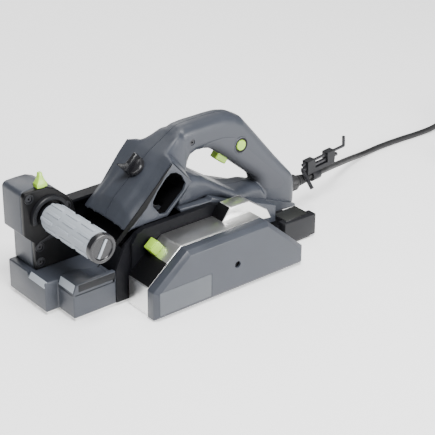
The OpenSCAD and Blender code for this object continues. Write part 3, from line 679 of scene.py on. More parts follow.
def prism(points: Sequence[tuple[float, float]], y0: float, y1: float) -> bmesh.types.BMesh:
    """An outline in X and Z, extruded from one Y to another, in millimetres from the toe.

    Args:
        points: the outline, in order.
        y0: its left in Y.
        y1: its right in Y.

    Returns:
        The solid.
    """
    bm = bmesh.new()
    face = bmesh.ops.contextual_create(bm, geom=[bm.verts.new(at(x, y0, z)) for x, z in points])["faces"]
    grown = bmesh.ops.extrude_face_region(bm, geom=face)
    bmesh.ops.translate(bm, verts=new_verts(grown), vec=(0.0, (y1 - y0) * MM, 0.0))
    bmesh.ops.recalc_face_normals(bm, faces=bm.faces)
    return bm


def slab(points: Sequence[tuple[float, float]], z0: float, z1: float) -> bmesh.types.BMesh:
    """An outline in X and Y, extruded from one height to another, in millimetres from the toe.

    Args:
        points: the outline, in order.
        z0: its bottom in Z.
        z1: its top in Z.

    Returns:
        The solid.
    """
    bm = bmesh.new()
    face = bmesh.ops.contextual_create(bm, geom=[bm.verts.new(at(x, y, z0)) for x, y in points])["faces"]
    grown = bmesh.ops.extrude_face_region(bm, geom=face)
    bmesh.ops.translate(bm, verts=new_verts(grown), vec=(0.0, 0.0, (z1 - z0) * MM))
    bmesh.ops.recalc_face_normals(bm, faces=bm.faces)
    return bm


def block(x0: float, x1: float, y0: float, y1: float, z0: float, z1: float) -> bmesh.types.BMesh:
    """A block between two corners, in millimetres from the toe.

    Args:
        x0: its front in X.
        x1: its back in X.
        y0: its left in Y.
        y1: its right in Y.
        z0: its bottom in Z.
        z1: its top in Z.

    Returns:
        The solid.
    """
    return slab([(x0, y0), (x1, y0), (x1, y1), (x0, y1)], z0, z1)


def rod(x: float, z: float, radius: float, y0: float, y1: float, sides: int = 48) -> bmesh.types.BMesh:
    """A round bar along Y, in millimetres from the toe.

    Args:
        x: its axis in X.
        z: its axis in Z.
        radius: its radius.
        y0: its left in Y.
        y1: its right in Y.
        sides: how many sides stand for the round.

    Returns:
        The solid.
    """
    bm = bmesh.new()
    bar_of(bm, at(x, y0, z), at(x, y1, z), radius * MM, sides)
    return bm


def shrunk(points: Sequence[tuple[float, float]], inset: float) -> list[tuple[float, float]]:
    """An outline with each side moved inwards.

    Args:
        points: the outline's corners.
        inset: how far its sides move in, or out if negative.

    Returns:
        The new corners.
    """
    area = sum(a[0] * b[1] - b[0] * a[1] for a, b in zip(points, points[1:] + points[:1]))
    side = 1.0 if area > 0 else -1.0
    found = []
    for i, here in enumerate(points):
        before = (Vector(here) - Vector(points[i - 1])).normalized()
        after = (Vector(points[(i + 1) % len(points)]) - Vector(here)).normalized()
        across = Vector((-before.y - after.y, before.x + after.x)) * side
        lean = max(0.35, across.length / 2.0)
        move = across.normalized() * (inset / lean)
        found.append((here[0] + move.x, here[1] + move.y))
    return found


def framed(origin: Vector, lean: float) -> Matrix:
    """A frame at a point, leaned about Y.

    Args:
        origin: the frame's origin in metres.
        lean: its lean in degrees.

    Returns:
        The frame.
    """
    return Matrix.Translation(origin) @ Matrix.Rotation(math.radians(lean), 4, "Y")


def chunk(x0: float, x1: float, y0: float, y1: float, z0: float, z1: float,
          frame: Matrix) -> bmesh.types.BMesh:
    """A block in a leaned frame of its own, in millimetres.

    Args:
        x0: its front in X.
        x1: its back in X.
        y0: its left in Y.
        y1: its right in Y.
        z0: its bottom in Z.
        z1: its top in Z.
        frame: the leaned frame.

    Returns:
        The solid.
    """
    bm = bmesh.new()
    bmesh.ops.create_cube(bm, size=1.0)
    bmesh.ops.scale(bm, vec=((x1 - x0) * MM, (y1 - y0) * MM, (z1 - z0) * MM), verts=bm.verts)
    bmesh.ops.translate(bm, vec=((x0 + x1) / 2 * MM, (y0 + y1) / 2 * MM, (z0 + z1) / 2 * MM), verts=bm.verts)
    bmesh.ops.transform(bm, matrix=frame, verts=bm.verts)
    return bm


def eased(bm: bmesh.types.BMesh, width: float, segments: int = 3, over: float = 28.0) -> bmesh.types.BMesh:
    """Rounds a mesh's crisp edges, width in millimetres, and hands it on.

    Args:
        bm: the mesh.
        width: width of the rounding.
        segments: segments across it.
        over: edges sharper than this many degrees are rounded.

    Returns:
        The same mesh.
    """
    soften(bm, width * MM, segments, over, 0.0)
    return bm


def dress(node: str, finish: Finish, rounding: float = 0.0) -> bpy.types.Object:
    """Gives a CAD node its finish, and rounds its edges with modifiers.

    Args:
        node: the node's name.
        finish: what it is made of.
        rounding: its edges' rounding in millimetres.

    Returns:
        The node's object.
    """
    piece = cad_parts[node]
    piece.data.materials.clear()
    piece.data.materials.append(finish.build())
    if rounding:
        weld = piece.modifiers.new("weld", "WELD")
        weld.merge_threshold = 0.00001
        bevel = piece.modifiers.new("rounding", "BEVEL")
        bevel.width = rounding * MM
        bevel.segments = 2
        bevel.limit_method = "ANGLE"
        bevel.angle_limit = math.radians(30)
        bevel.harden_normals = False
    LOG.info("%s keeps its CAD shape", node)
    return piece


# ---------------------------------------------------------------- the mains lead


@dataclass
class MainsLead:
    """The lead with its connector, coil, tie, plug and the clip with two hex keys.

    Attributes:
        diameter: the lead's diameter in mm.
        length: its real length in metres; it is not used.
        outer: radius of the outermost turn's middle in mm.
        inner: radius of the innermost turn's middle in mm.
        turn_points: points in each turn.
    """

    diameter: float = 7.0
    length: float = 3.8
    outer: float = 50.5
    inner: float = 29.5
    turn_points: int = 24
    connector: float = 362.0
    way: tuple = ((362, 42, 41), (376, 43, 41.5), (390, 48, 38.5), (415, 61, 31), (445, 76, 22),
                  (476, 91, 13),
                  (504, 102, 6), (527, 107, 3.6), (545, 108.5, 3.5), (580, 108.5, 3.5), (614, 107, 3.5),
                  (640, 105.5, 6), (665, 104.8, 15), (686, 104.6, 23))
    plug_way: tuple = ((688, 3.5, 3.8), (675, 3.5, 6), (662, 3.5, 10), (650, 3.5, 12.6), (642, 3.5, 13))

    def coil(self) -> list[Vector]:
        """The coil's line: four layers of turns, each wound in or out, with a short way down between them.

        Returns:
            Its points, clockwise from above.
        """
        layers, layer_turns, drop_turns = 4, 3.0, 0.5
        span = layer_turns + drop_turns
        total = layers * span - drop_turns
        points = []
        steps = round(total * self.turn_points)
        for step in range(steps + 1):
            turns = total * step / steps
            layer = min(layers - 1, int(turns / span))
            along = turns - layer * span
            share = min(1.0, along / layer_turns)
            reach = self.outer - (self.outer - self.inner) * (share if layer % 2 == 0 else 1.0 - share)
            drop = ease((along - layer_turns) / (drop_turns / 2)) if along > layer_turns else 0.0
            height = self.diameter * (layers - 0.5 - layer - drop)
            angle = math.pi / 2 - math.tau * turns
            points.append(at(700 + reach * math.cos(angle), 54 + reach * math.sin(angle), height))
        return points

    def lead(self) -> bpy.types.Object:
        """Lays the lead along its whole route.

        Returns:
            The lead, a curve with a round section.
        """
        points = [at(*p) for p in self.way] + self.coil() + [at(*p) for p in self.plug_way]
        data = bpy.data.curves.new("mains_lead", "CURVE")
        data.dimensions = "3D"
        data.bevel_depth = self.diameter / 2 * MM
        data.bevel_resolution = 4
        data.resolution_u = 3
        data.use_fill_caps = True
        line = data.splines.new("BEZIER")
        line.bezier_points.add(len(points) - 1)
        for knot, point in zip(line.bezier_points, points):
            knot.co = point
            knot.handle_left_type = knot.handle_right_type = "AUTO"
        data.materials.append(RUBBER.build())
        lead = bpy.data.objects.new("mains_lead", data)
        bpy.context.scene.collection.objects.link(lead)
        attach(lead, "body")
        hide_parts("lead_tube", "lead_coil")
        return lead

    def boot(self) -> bpy.types.Object:
        """Turns the connector with its ribbed bending relief.

        Returns:
            The piece.
        """
        bm = bmesh.new()
        outline = [(0.0, 0.0), (6.4, 0.0), (7.0, 0.6), (7.0, 16.6), (8.6, 17.0), (9.0, 17.6), (9.0, 27.2),
                   (8.4, 28.0),
                   (7.2, 28.2)]
        for rib in range(6):
            wide = 7.0 - 0.42 * rib
            start = 28.6 + 3.2 * rib
            outline += [(wide, start), (wide - 0.2, start + 1.8), (wide - 0.9, start + 2.1),
                        (wide - 1.0, start + 2.9)]
        outline += [(4.1, 47.6), (3.5, 48.0), (0.0, 48.0)]
        turned(bm, [(r * MM, h * MM) for r, h in outline], at(self.connector - 48, 42, 41),
               Vector((1.0, 0.0, 0.0)))
        for turn in range(8):
            angle = math.tau * turn / 8
            brick(bm, at(self.connector - 25.4, 42 + 8.9 * math.cos(angle), 41 + 8.9 * math.sin(angle)),
                  (0.008, 0.0012, 0.0026), Matrix.Rotation(angle, 3, "X"), 0.0003)
        return stand_for(link(bm, "plug_in_connector", RUBBER, "body"), "lead_connector")

    def plug(self) -> bpy.types.Object:
        """Moulds the mains plug: ribbed tail, gripped body and two pins.

        Returns:
            The piece.
        """
        bm = bmesh.new()
        outline = [(0.0, 0.0), (3.9, 0.0)]
        for rib in range(6):
            wide = 4.6 + 0.32 * rib
            outline += [(wide - 0.5, 1.0 + 3.4 * rib), (wide, 1.4 + 3.4 * rib), (wide + 0.1, 3.2 + 3.4 * rib),
                        (wide - 0.4, 3.6 + 3.4 * rib)]
        outline += [(6.5, 23.0), (6.5, 25.0), (0.0, 25.0)]
        turned(bm, [(r * MM, h * MM) for r, h in outline], at(642, 3.5, 13), Vector((-1.0, 0.0, 0.0)), 40)
        rings = []
        for reach, wide, high in ((23.2, 6.5, 6.2), (25.0, 10.0, 8.4), (29.0, 15.0, 11.2), (34.0, 17.0, 12.2),
                                  (40.0, 17.6, 12.4), (50.0, 17.9, 12.4), (54.0, 17.9, 12.4),
                                  (55.0, 17.2, 11.8)):
            rings.append([at(642 - reach, 3.5 + u, 13 + v) for u,
                          v in soft_square(wide, high, min(wide, high) * 0.8)])
        loft(rings, bm)
        for side in (-1, 1):
            for groove in range(5):
                brick(bm, at(642 - 33 - 3.4 * groove, 3.5, 13 + side * 12.15), (0.0015, 0.018, 0.0010),
                      rounding=0.0003)
        body = link(bm, "mains_plug_body", RUBBER, "body")
        pins = bmesh.new()
        for side in (-1, 1):
            bar_of(pins, at(642 - 54.5, 3.5 + side * 9.5, 13), at(642 - 71.6, 3.5 + side * 9.5, 13), 0.0024)
            bar_of(pins, at(642 - 71.6, 3.5 + side * 9.5, 13), at(642 - 73, 3.5 + side * 9.5, 13), 0.0024,
                   32, 0.0015)
        link(pins, "mains_plug_pins", STEEL, "body")
        return stand_for(body, "mains_plug")

    def build(self) -> None:
        """Builds the lead with its connector and plug, and dresses the tie, the clip and the keys."""
        lead = self.lead()
        boot = self.boot()
        plug = self.plug()
        carried = [dress("coil_tie", SOFT_GRIP, 0.5), dress("key_clip", NEAR_BLACK, 0.5),
                   dress("hex_keys", DARK_STEEL, 0.3)]


# ---------------------------------------------------------------- toe, post and front handle


@dataclass
class Toe:
    """The two-block toe casing and the front sole.

    Attributes:
        step: how far the left block is set back.
        split: width of the left block.
        width: the body's width.
        top: the right block's top.
        near_top: the left block's top.
        back: where the casing ends.
    """

    step: float = 15.0
    split: float = 27.6
    width: float = 96.0
    top: float = 37.0
    near_top: float = 41.0
    back: float = 66.0

    def build(self) -> None:
        """Builds the casing with its bevels, recess and trims."""
        plan = [(self.step, 0), (self.back, 0), (self.back, self.width), (0, self.width), (0, self.split),
                (self.step, self.split)]
        low = eased(slab(plan, 4, self.top), 1.6, 3)
        hollow = slab(shrunk(plan[:1] + [(self.back + 9, 0), (self.back + 9, self.width)] + plan[3:], 2.2),
                      3, 33.6)
        fence = rod(44, 22, 3.4, self.width - 14, self.width + 1)
        hole = bmesh.new()
        bar_of(hole, at(26, 80, 30), at(26, 80, 40), 0.0042)
        bevel = prism([(-1, self.top - 6), (-1, self.top + 1), (3.5, self.top + 1)], self.split + 1.6, 60)
        low = cut(low, hollow, fence, hole, bevel,
                  block(-1, self.back - 4, -1, self.split - 0.6, 30, self.top + 1))
        collar = cut(rod(44, 22, 7, self.width - 13, self.width - 1.5),
                     rod(44, 22, 3.4, self.width - 15, self.width))
        near = eased(prism([(self.step, self.top - 9), (self.step, self.near_top - 8.6),
                            (self.step + 3.1, self.near_top), (self.back, self.near_top),
                            (self.back, self.top - 9)],
                           0, self.split), 1.1, 3)
        sweep = prism([(38, self.near_top + 1), (44, self.near_top - 2.2), (54, self.near_top - 4.2),
                       (self.back + 2, self.near_top - 4.4), (self.back + 2, self.near_top + 1)], 5,
                       self.split + 2)
        near = cut(near, sweep)
        stand_for(link(joined(low, collar, near), "toe_casing", BLUE_GREY, "body"), "toe_housing")
        self.trims()
        dress("front_sole", MACHINED, 0.4)

    def trims(self) -> None:
        """Adds the light bevel plates on both blocks and a dark band along the left block's upper side, which
        is painted shade on its chamfer.
        """
        slope = math.atan2(8.6, 3.1)
        plate = bmesh.new()
        brick(plate, at(self.step + 1.4, self.split / 2, self.near_top - 4.2),
              (0.0086, (self.split - 3.0) * MM, 0.0008),
              Matrix.Rotation(-slope, 3, "Y"), 0.0003)
        brick(plate, at(1.2, (self.split + 58) / 2, self.top - 2.6), (0.0070, 0.0285, 0.0008),
              Matrix.Rotation(-math.atan2(6.0, 3.6), 3, "Y"), 0.0003)
        link(plate, "toe_bevels", GRIP_GREY, "body")
        # A thin near-black sheet on the left block's side: painted shade on the upper chamfer, which falls
        # into shade.
        band = bmesh.new()
        brick(band, at(43, -0.05, 36.4), (0.044, 0.0007, 0.0075), None, 0.0003)
        link(band, "toe_side_painted_shade", NEAR_BLACK, "body")


@dataclass
class Post:
    """The front post: shell, cover, collar arch and screws."""

    near: float = 56.0
    seam: float = 62.0
    far: float = 96.0
    axis: tuple = (26.0, 95.0)
    profile: tuple = ((8, 37.1), (8, 68), (-2.4, 78), (-2.4, 121), (-0.4, 124), (3, 124.9), (12, 125.3),
                      (25, 125),
                      (33, 121.8), (40, 116.5), (47, 110.5), (52, 104.6), (55.5, 98), (57.3, 91), (60, 78),
                      (65.6, 73.6),
                      (65.6, 37.1))

    def build(self) -> None:
        """Builds the post's pieces."""
        profile = list(self.profile)
        inside = shrunk(profile, 3)
        slot = block(17.5, 24.5, self.near + 1, self.near + 15, 117, 130)
        shell = cut(eased(prism(profile, self.seam + 0.25, self.far), 1.5, 3),
                    prism(inside, self.seam - 1, self.far - 3),
                    slot)
        stand_for(link(shell, "post_casing", BLUE_GREY, "body"), "post_shell")
        slot = block(17.5, 24.5, self.near + 1, self.near + 15, 117, 130)
        holes = [rod(x, z, 3.7, self.near - 1, self.near + 2.6) for x, z in self.screws()]
        shaft = rod(*self.axis, 5.4, self.near - 1, self.seam + 1)
        face = cut(eased(prism(profile, self.near, self.seam - 0.25), 1.1, 3),
                   prism(inside, self.near + 3, self.seam + 1),
                   slot, shaft, *holes)
        stand_for(link(face, "post_face", DARK_PARTS_AND_PAINTED_SHADE, "body"), "post_cover")
        self.arch()
        self.braces()
        dress("post_screws", DARK_STEEL, 0.15)

    def screws(self) -> tuple:
        """The places of the cover's screws.

        Returns:
            The places, as X and Z in millimetres.
        """
        return ((4, 118), (47, 98), (13.5, 62), (13.5, 45))

    def arch(self) -> None:
        """Adds the arched collar that stands round the handle's root."""
        bm = bmesh.new()
        outline = [(16.6, 0.0), (20.6, 0.0), (21.2, 0.5), (21.2, 4.6), (20.4, 5.6), (17.6, 5.6),
                   (16.6, 4.8), (16.6, 0.0)]
        middle = at(self.axis[0], self.near + 0.4, self.axis[1])
        start = Vector((-1.0, 0.0, 0.0))
        verts = [bm.verts.new(middle + start * r * MM + Vector((0.0, -h * MM, 0.0))) for r, h in outline[:-1]]
        ring = bmesh.ops.contextual_create(bm, geom=verts)["faces"]
        bmesh.ops.spin(bm, geom=ring, cent=middle, axis=(0.0, 1.0, 0.0), angle=math.radians(215), steps=44,
                       use_merge=False, use_duplicate=False, dvec=(0.0, 0.0, 0.0))
        bmesh.ops.rotate(bm, cent=middle, matrix=Matrix.Rotation(math.radians(-14), 3, "Y"), verts=bm.verts)
        link(bm, "handle_collar", NEAR_BLACK, "body")

    def braces(self) -> None:
        """Adds the moulded ribs and screw bosses on the post's face below the handle."""
        bm = bmesh.new()
        for x, z in self.screws():
            bm = joined(bm, cut(eased(rod(x, z, 5.2, self.near - 1.1, self.near + 0.5), 0.4, 2),
                                rod(x, z, 3.6, self.near - 2, self.near + 1)))
        rib = eased(prism([(13, 66), (42, 70), (57, 80), (57, 82), (41, 72), (13, 68)], self.near - 0.9,
                          self.near + 0.4), 0.3, 2)
        link(joined(bm, rib), "post_ribs", NEAR_BLACK, "body")


@dataclass
class FrontHandle:
    """The turning front handle: ribbed sleeve, cap with its bar, and the lock's tab.

    Attributes:
        axis: its axis in X and Z.
        tip: where its end is in Y.
        root: where it meets the post.
        radius: the sleeve's greatest radius.
        rows: rows of ribs round the sleeve.
    """

    axis: tuple = (26.0, 95.0)
    tip: float = -38.0
    root: float = 56.0
    radius: float = 15.4
    rows: int = 10

    def build(self) -> None:
        """Builds the sleeve, the cap and the tab."""
        self.sleeve()
        self.cap()
        self.tab()

    def sleeve(self) -> None:
        """Turns the sleeve and sets staggered ribs on it."""
        skin = self.radius - 0.9
        start, end = self.tip + 7, self.root - 6.2
        bm = bmesh.new()
        outline = [(12.6, start), (skin - 0.6, start), (skin, start + 0.8), (skin, end - 3),
                   (skin - 1.4, end),
                   (12.6, end), (12.6, start)]
        turned(bm, [(r * MM, h * MM) for r, h in outline], at(self.axis[0], 0, self.axis[1]),
               Vector((0.0, 1.0, 0.0)), 80)
        length, pitch = 20.5, 26.5
        for row in range(self.rows):
            angle = math.tau * row / self.rows + 0.35
            spot = Vector((math.cos(angle), 0.0, math.sin(angle)))
            for i in range(3):
                y = start + 4 + length / 2 + pitch * i - (5.2 if row % 2 else 0.0) + 1.4
                middle = at(self.axis[0], y, self.axis[1]) + spot * (skin + 0.1) * MM
                brick(bm, middle, (0.0017, length * MM, 0.0036), Matrix.Rotation(-angle, 3, "Y"), 0.0007, 3)
        stand_for(link(bm, "front_handle_sleeve", GRIP_GREY, "front_handle"), "grip_sleeve")

    def cap(self) -> None:
        """Turns the dark cap and lays a plain bar across it."""
        bm = bmesh.new()
        y = self.tip
        outline = [(0.0, y + 1.6), (10.9, y + 1.6), (11.4, y + 1.1), (11.6, y + 0.3), (12.2, y), (13.6, y),
                   (14.9, y + 0.6), (15.4, y + 2.0), (15.4, y + 6.2), (14.8, y + 6.9), (0.0, y + 6.9)]
        turned(bm, [(r * MM, h * MM) for r, h in outline], at(self.axis[0], 0, self.axis[1]),
               Vector((0.0, 1.0, 0.0)), 80)
        stand_for(link(bm, "front_handle_cap", GLOSS_BLACK, "front_handle"), "grip_cap")
        bar = bmesh.new()
        lean = Matrix.Rotation(math.radians(-62), 3, "Y")
        brick(bar, at(self.axis[0], y + 1.3, self.axis[1]), (0.0205, 0.0012, 0.0030), lean, 0.0004)
        link(bar, "front_handle_bar", GRIP_GREY, "front_handle")

    def tab(self) -> None:
        """Builds the green tab that locks the depth: a stepped wedge with ribs."""
        bm = bmesh.new()
        x, y, z = 21.0, self.root + 5, 125.8
        rings = []
        for height, half_x, half_y, move in ((0.0, 6.0, 4.2, 0.0), (4.0, 6.0, 4.2, 0.0), (5.2, 4.8, 3.5, 0.0),
                                             (7.6, 3.9, 3.1, 0.0), (8.2, 3.3, 2.9, 0.0),
                                             (10.6, 2.9, 2.7, 0.0),
                                             (11.2, 2.4, 2.5, 0.0), (14.6, 2.0, 2.3, 0.0),
                                             (15.2, 1.5, 1.9, 0.0)):
            rings.append([at(x + u + move, y + v, z + height) for u,
                          v in soft_square(half_x, half_y, 0.9, 3)])
        loft(rings, bm)
        stem = eased(block(x - 3.2, x + 3.2, y - 3.5, y + 3.5, z - 6.3, z + 0.5), 0.3, 2)
        stand_for(link(joined(bm, stem), "depth_lock_tab", GREEN, "depth_lock"), "depth_lock")


# ---------------------------------------------------------------- the handle shells


BUTTON = (249.0, 118.0)
TRIGGER = (233.0, 104.3)
TRIGGER_LEAN = 38.5


def trigger_frame() -> Matrix:
    """The frame that the trigger slides in.

    Returns:
        The frame, with its Z axis along the travel.
    """
    return framed(at(TRIGGER[0], 42, TRIGGER[1]), TRIGGER_LEAN)


@dataclass
class HandleShells:
    """The two moulded shells, split at the seam: spine, D handle, hood and sweep down to the toe.

    Attributes:
        seam: the seam plane's distance from the left flank.
        half_spine: half the spine's width.
        half_grip: half the handle's width; it is not used.
        gap: half the seam's gap.
        wall: the shells' wall.
        voxel: cell size of the skin in metres.
    """

    seam: float = 42.0
    half_spine: float = 39.0
    half_grip: float = 16.0
    gap: float = 0.3
    wall: float = 3.0
    voxel: float = 0.00125
    port_edge: tuple = ((141, 137), (166, 109), (134, 79.3), (92, 79.3), (109, 100), (129, 124.5))
    port_hole: tuple = ((115, 96), (124, 84), (132, 83), (155, 102.5), (157.7, 109.8), (152.6, 120.3),
                        (145, 126),
                        (138, 127), (131, 122.6), (121, 111.5), (115, 102))
    grip_line: tuple = ((193, 118), (201, 131), (210, 133), (225, 133), (241, 129), (257, 113), (282, 88),
                        (305, 66),
                        (312, 56), (306, 50.5), (288, 55), (272, 60), (230, 95))
    window: tuple = ((184, 121), (188, 124), (210, 123), (237.5, 103), (257, 86), (276, 70), (273, 65),
                     (257, 66.6),
                     (238, 69), (213, 86), (190, 103), (181, 113))

    def build(self) -> None:
        """Builds both shells with their inserts, ports and decks."""
        skin = melted(joined(self.spine(0), self.sweep(), self.handle(0), self.hood(0)), self.voxel, 7)
        room = melted(joined(self.spine(self.wall), self.handle(self.wall), self.hood(self.wall)),
                      2 * self.voxel, 2)
        solid = cut(skin, room, *self.openings())
        for side, name in ((-1, "left"), (1, "right")):
            half = solid.copy()
            bmesh.ops.bisect_plane(half, geom=list(half.verts) + list(half.edges) + list(half.faces),
                                   plane_co=at(0, self.seam + side * self.gap, 0), plane_no=(0.0, -side, 0.0),
                                   clear_outer=True)
            rim = [e for e in half.edges if e.is_boundary]
            bmesh.ops.triangle_fill(half, use_beauty=True, use_dissolve=False, edges=rim)
            stand_for(link(half, f"{name}_handle_shell", BLUE_GREY, "body", 38.0), f"{name}_shell")
            self.deck(side, name)
            self.grip(side, name)
            self.port(side, name)
        solid.free()
        self.crease()
        dress("shell_screws", DARK_STEEL, 0.15)

    def crease(self) -> None:
        """Lays the dark parting line along the left side, from the neck down to the toe."""
        line = [(46, 51.2), (60, 60.6), (73, 69.6), (90, 83.4), (108, 98.4), (128.4, 123.6), (139.6, 136)]
        below = [(x + 0.22, z - 0.26) for x, z in reversed(line)]
        link(prism(line + below, 2.2, 3.12), "left_parting_line", DARK_PARTS_AND_PAINTED_SHADE, "body")

    def openings(self) -> list[bmesh.types.BMesh]:
        """The solids that are taken out of both shells.

        Returns:
            The cutters.
        """
        trigger = trigger_frame()
        found = [prism(shrunk(self.port_hole, -1.7), 0, 84),
                 chunk(-8.9, 8.9, -5.4, 5.4, -20, 30, trigger),
                 rod(*BUTTON, 8.6, 20, 27.6), rod(*BUTTON, 6.4, 20, 34)]
        for x, z in ((184, 139), (301, 34)):
            found.append(rod(x, z, 3.4, 20, 29.4, 32))
        socket = bmesh.new()
        bar_of(socket, at(310, 42, 41), at(340, 42, 41), 0.0102)
        found.append(socket)
        found.append(block(280.4, 340, -20, 21.5, 0, 28.5))
        for side in (-1, 1):
            face = self.seam + side * self.half_spine
            found.append(prism(shrunk(self.port_edge, -0.3), *sorted((face + side * 2, face - side * 2.7))))
        stem = bmesh.new()
        frame = framed(at(124, self.seam, 122.6), -42)
        bar_of(stem, frame @ Vector((0, 0, -0.012)), frame @ Vector((0, 0, 0.02)), 0.0044)
        found.append(stem)
        return found

    def spine(self, inset: float) -> bmesh.types.BMesh:
        """The sloping spine, from one flank to the other, with its neck in the middle.

        Args:
            inset: how far its skin is moved in, in mm.

        Returns:
            The solid.
        """
        side = [(82, 76), (90, 83), (100, 91.5), (109, 100), (119, 112), (129, 124.5), (137, 133), (141, 137),
                (144, 135), (148, 130.6), (153, 125), (157, 120), (161, 115), (164, 111.5), (166, 109),
                (158, 100),
                (148, 91), (134, 79.4), (110, 79.3), (86, 78)]
        shoulder = [(82, 77.5), (92, 91.5), (102, 99.5), (111, 107), (121, 118), (131, 127.5), (138, 134.5),
                    (143, 139.5), (147, 139), (151, 135), (156, 129), (160, 123.5), (164, 118), (167, 113),
                    (169, 109),
                    (160, 100), (148, 91), (134, 79.4), (110, 79.3), (86, 78)]
        crown = [(82, 79), (94, 97), (103, 104.5), (112, 112), (123, 122), (133, 131.3), (141, 137),
                 (149, 141.6),
                 (157, 146), (163, 149.4), (168, 151.6), (172, 151), (175, 145), (177, 136), (178, 124),
                 (174, 108), (162, 94), (140, 79.4), (110, 79.3), (86, 78)]
        rings = []
        reach = self.half_spine - inset
        for step in range(31):
            offset = reach * math.sin(math.pi * (step / 30 - 0.5))
            far = abs(offset) + inset
            ring = blend_points(side, shoulder, ease((self.half_spine - far) / 12.0))
            ring = blend_points(ring, crown, ease((25.0 - far) / 11.0))
            ring = shrunk(ring, inset) if inset else ring
            rings.append([at(x, self.seam + offset, z - (inset and 4.0 if z < 82 else 0.0)) for x, z in ring])
        return loft(rings)

    def sweep(self) -> bmesh.types.BMesh:
        """The web at the left that runs from the spine down to the toe in a hollow curve.

        Returns:
            The solid.
        """
        side = [(30, 41.2), (48, 53), (60, 61), (73, 70), (90, 84), (104, 96), (112, 96), (110, 82), (98, 74),
                (84, 63), (70, 50), (66.4, 41.2)]
        hollow = [(46, 41.2), (54, 43.4), (62, 48), (71, 56.5), (82, 70), (97, 92), (104, 92), (106, 80),
                  (94, 68),
                  (81, 55.5), (70, 46.5), (66.4, 41.2)]
        rings = []
        for step in range(13):
            share = step / 12
            ring = blend_points(side, hollow, ease(share * 1.05))
            rings.append([at(x, 3.2 + 26.0 * share, z) for x, z in ring])
        return loft(rings)

    def handle(self, inset: float) -> bmesh.types.BMesh:
        """The D handle: a rounded section drawn from the spine's crest round to the foot.

        Args:
            inset: how far its skin is moved in, in mm.

        Returns:
            The solid.
        """
        stations = [((152, 136), (176, 98), 17), ((158, 146), (179, 106), 16.5),
                    ((166, 151.6), (181, 114), 16),
                    ((175, 156), (184, 121), 16), ((188, 157), (193, 124.4), 16),
                    ((203, 157), (203, 124.4), 16),
                    ((218, 157), (212, 122), 16), ((231, 156.4), (220.5, 117), 16),
                    ((243, 153.6), (228.5, 110.6), 16),
                    ((255, 147), (237.5, 103), 16), ((267, 133), (247.5, 94.2), 16),
                    ((280, 117.5), (257, 86), 16),
                    ((292, 103), (266, 78.5), 16), ((304, 88.5), (273.5, 72), 16),
                    ((314, 77), (277, 68.2), 16),
                    ((322, 68), (279, 63), 16), ((329, 60), (280, 56), 16), ((331.6, 53), (280.5, 48), 16),
                    ((332, 44), (282, 40), 16), ((332, 34), (284, 33), 16), ((332, 25.2), (287, 25), 16)]
        rings = []
        for outer, inner, half in stations:
            middle = ((outer[0] + inner[0]) / 2, (outer[1] + inner[1]) / 2)
            across = ((outer[0] - inner[0]) / 2, (outer[1] - inner[1]) / 2)
            reach = math.hypot(*across)
            rings.append([at(middle[0] + across[0] / reach * v, self.seam + u,
                             middle[1] + across[1] / reach * v)
                          for u, v in soft_square(half - inset, reach - inset, 12.0 - inset, 6)])
        return loft(rings)

    def hood(self, inset: float) -> bmesh.types.BMesh:
        """The motor's hood, which slopes down from the spine to the foot.

        Args:
            inset: how far its skin is moved in, in mm.

        Returns:
            The solid.
        """
        stations = [(152, 106, 34, 79.6), (166, 108, 34, 79.6), (178, 107.5, 33, 79.6),
                    (190, 102.5, 32, 79.6),
                    (202, 94, 31, 75), (214, 85.6, 30, 70.5), (226, 77.4, 28, 64.5), (238, 69.6, 26, 56),
                    (247, 67.6, 23, 48), (257, 66.2, 20, 40), (268, 65.4, 18.5, 32), (278, 62, 17.5, 25),
                    (286, 50, 16.5, 25)]
        rings = []
        for x, ridge, half, bottom in stations:
            low = bottom - (6.0 if inset else 0.0)
            rings.append([at(x, self.seam + u, (ridge - inset + low) / 2 + v)
                          for u, v in soft_square(half - inset, (ridge - inset - low) / 2, 8.0, 5)])
        return loft(rings)

    def deck(self, side: int, name: str) -> None:
        """Lays the thin deck between the shell and its flank.

        Args:
            side: -1 for the left, 1 for the right.
            name: the side's name.
        """
        outline = [(150, 79.3), (190, 79.3), (232, 62.5), (270, 24.4), (325, 24.4), (325, 27.4), (272, 27.4),
                   (233, 66), (192, 82.6), (150, 82.6)]
        y0, y1 = (3.0, self.seam - self.gap) if side < 0 else (self.seam + self.gap, 91.7)
        plate = eased(prism(outline, y0, y1), 0.8, 2)
        if side < 0:
            plate = cut(plate, block(279.7, 333, -10, 21.4, 0, 60))
        link(plate, f"{name}_deck", BLUE_GREY, "body")

    def grip(self, side: int, name: str) -> None:
        """Wraps the soft insert round the inside of the handle.

        Args:
            side: -1 for the left, 1 for the right.
            name: the side's name.
        """
        y0, y1 = (20, self.seam - self.gap) if side < 0 else (self.seam + self.gap, 64)
        pad = cut(self.handle(-0.4), prism(self.grip_line, y0, y1), keep="INTERSECT")
        pad = cut(pad, self.handle(1.2), prism(shrunk(self.window, -0.2), 0, 90),
                  rod(*BUTTON, 8.9, 20, 36),
                  chunk(-9.1, 9.1, -5.6, 5.6, -20, 30, trigger_frame()))
        stand_for(link(pad, f"{name}_soft_insert", SOFT_GRIP, "body"), f"{name}_grip")

    def port(self, side: int, name: str) -> None:
        """Builds the frame round a chip port.

        Args:
            side: -1 for the left, 1 for the right.
            name: the side's name.
        """
        face = self.seam + side * self.half_spine
        y0, y1 = sorted((face - side * 0.15, face - side * 2.6))
        frame = cut(eased(prism(shrunk(self.port_edge, 0.25), y0, y1), 0.7, 2), prism(self.port_hole, 0, 84))
        rim = cut(prism(shrunk(self.port_hole, -1.1), y0, y1), prism(shrunk(self.port_hole, 0.5), 0, 84))
        bmesh.ops.translate(rim, verts=rim.verts, vec=(0.0, side * 0.0003, 0.0))
        stand_for(link(joined(frame, rim), f"{name}_port_frame", BLUE_GREY, "body"), f"{name}_port_cover")


# ---------------------------------------------------------------- belt case, heel box and base


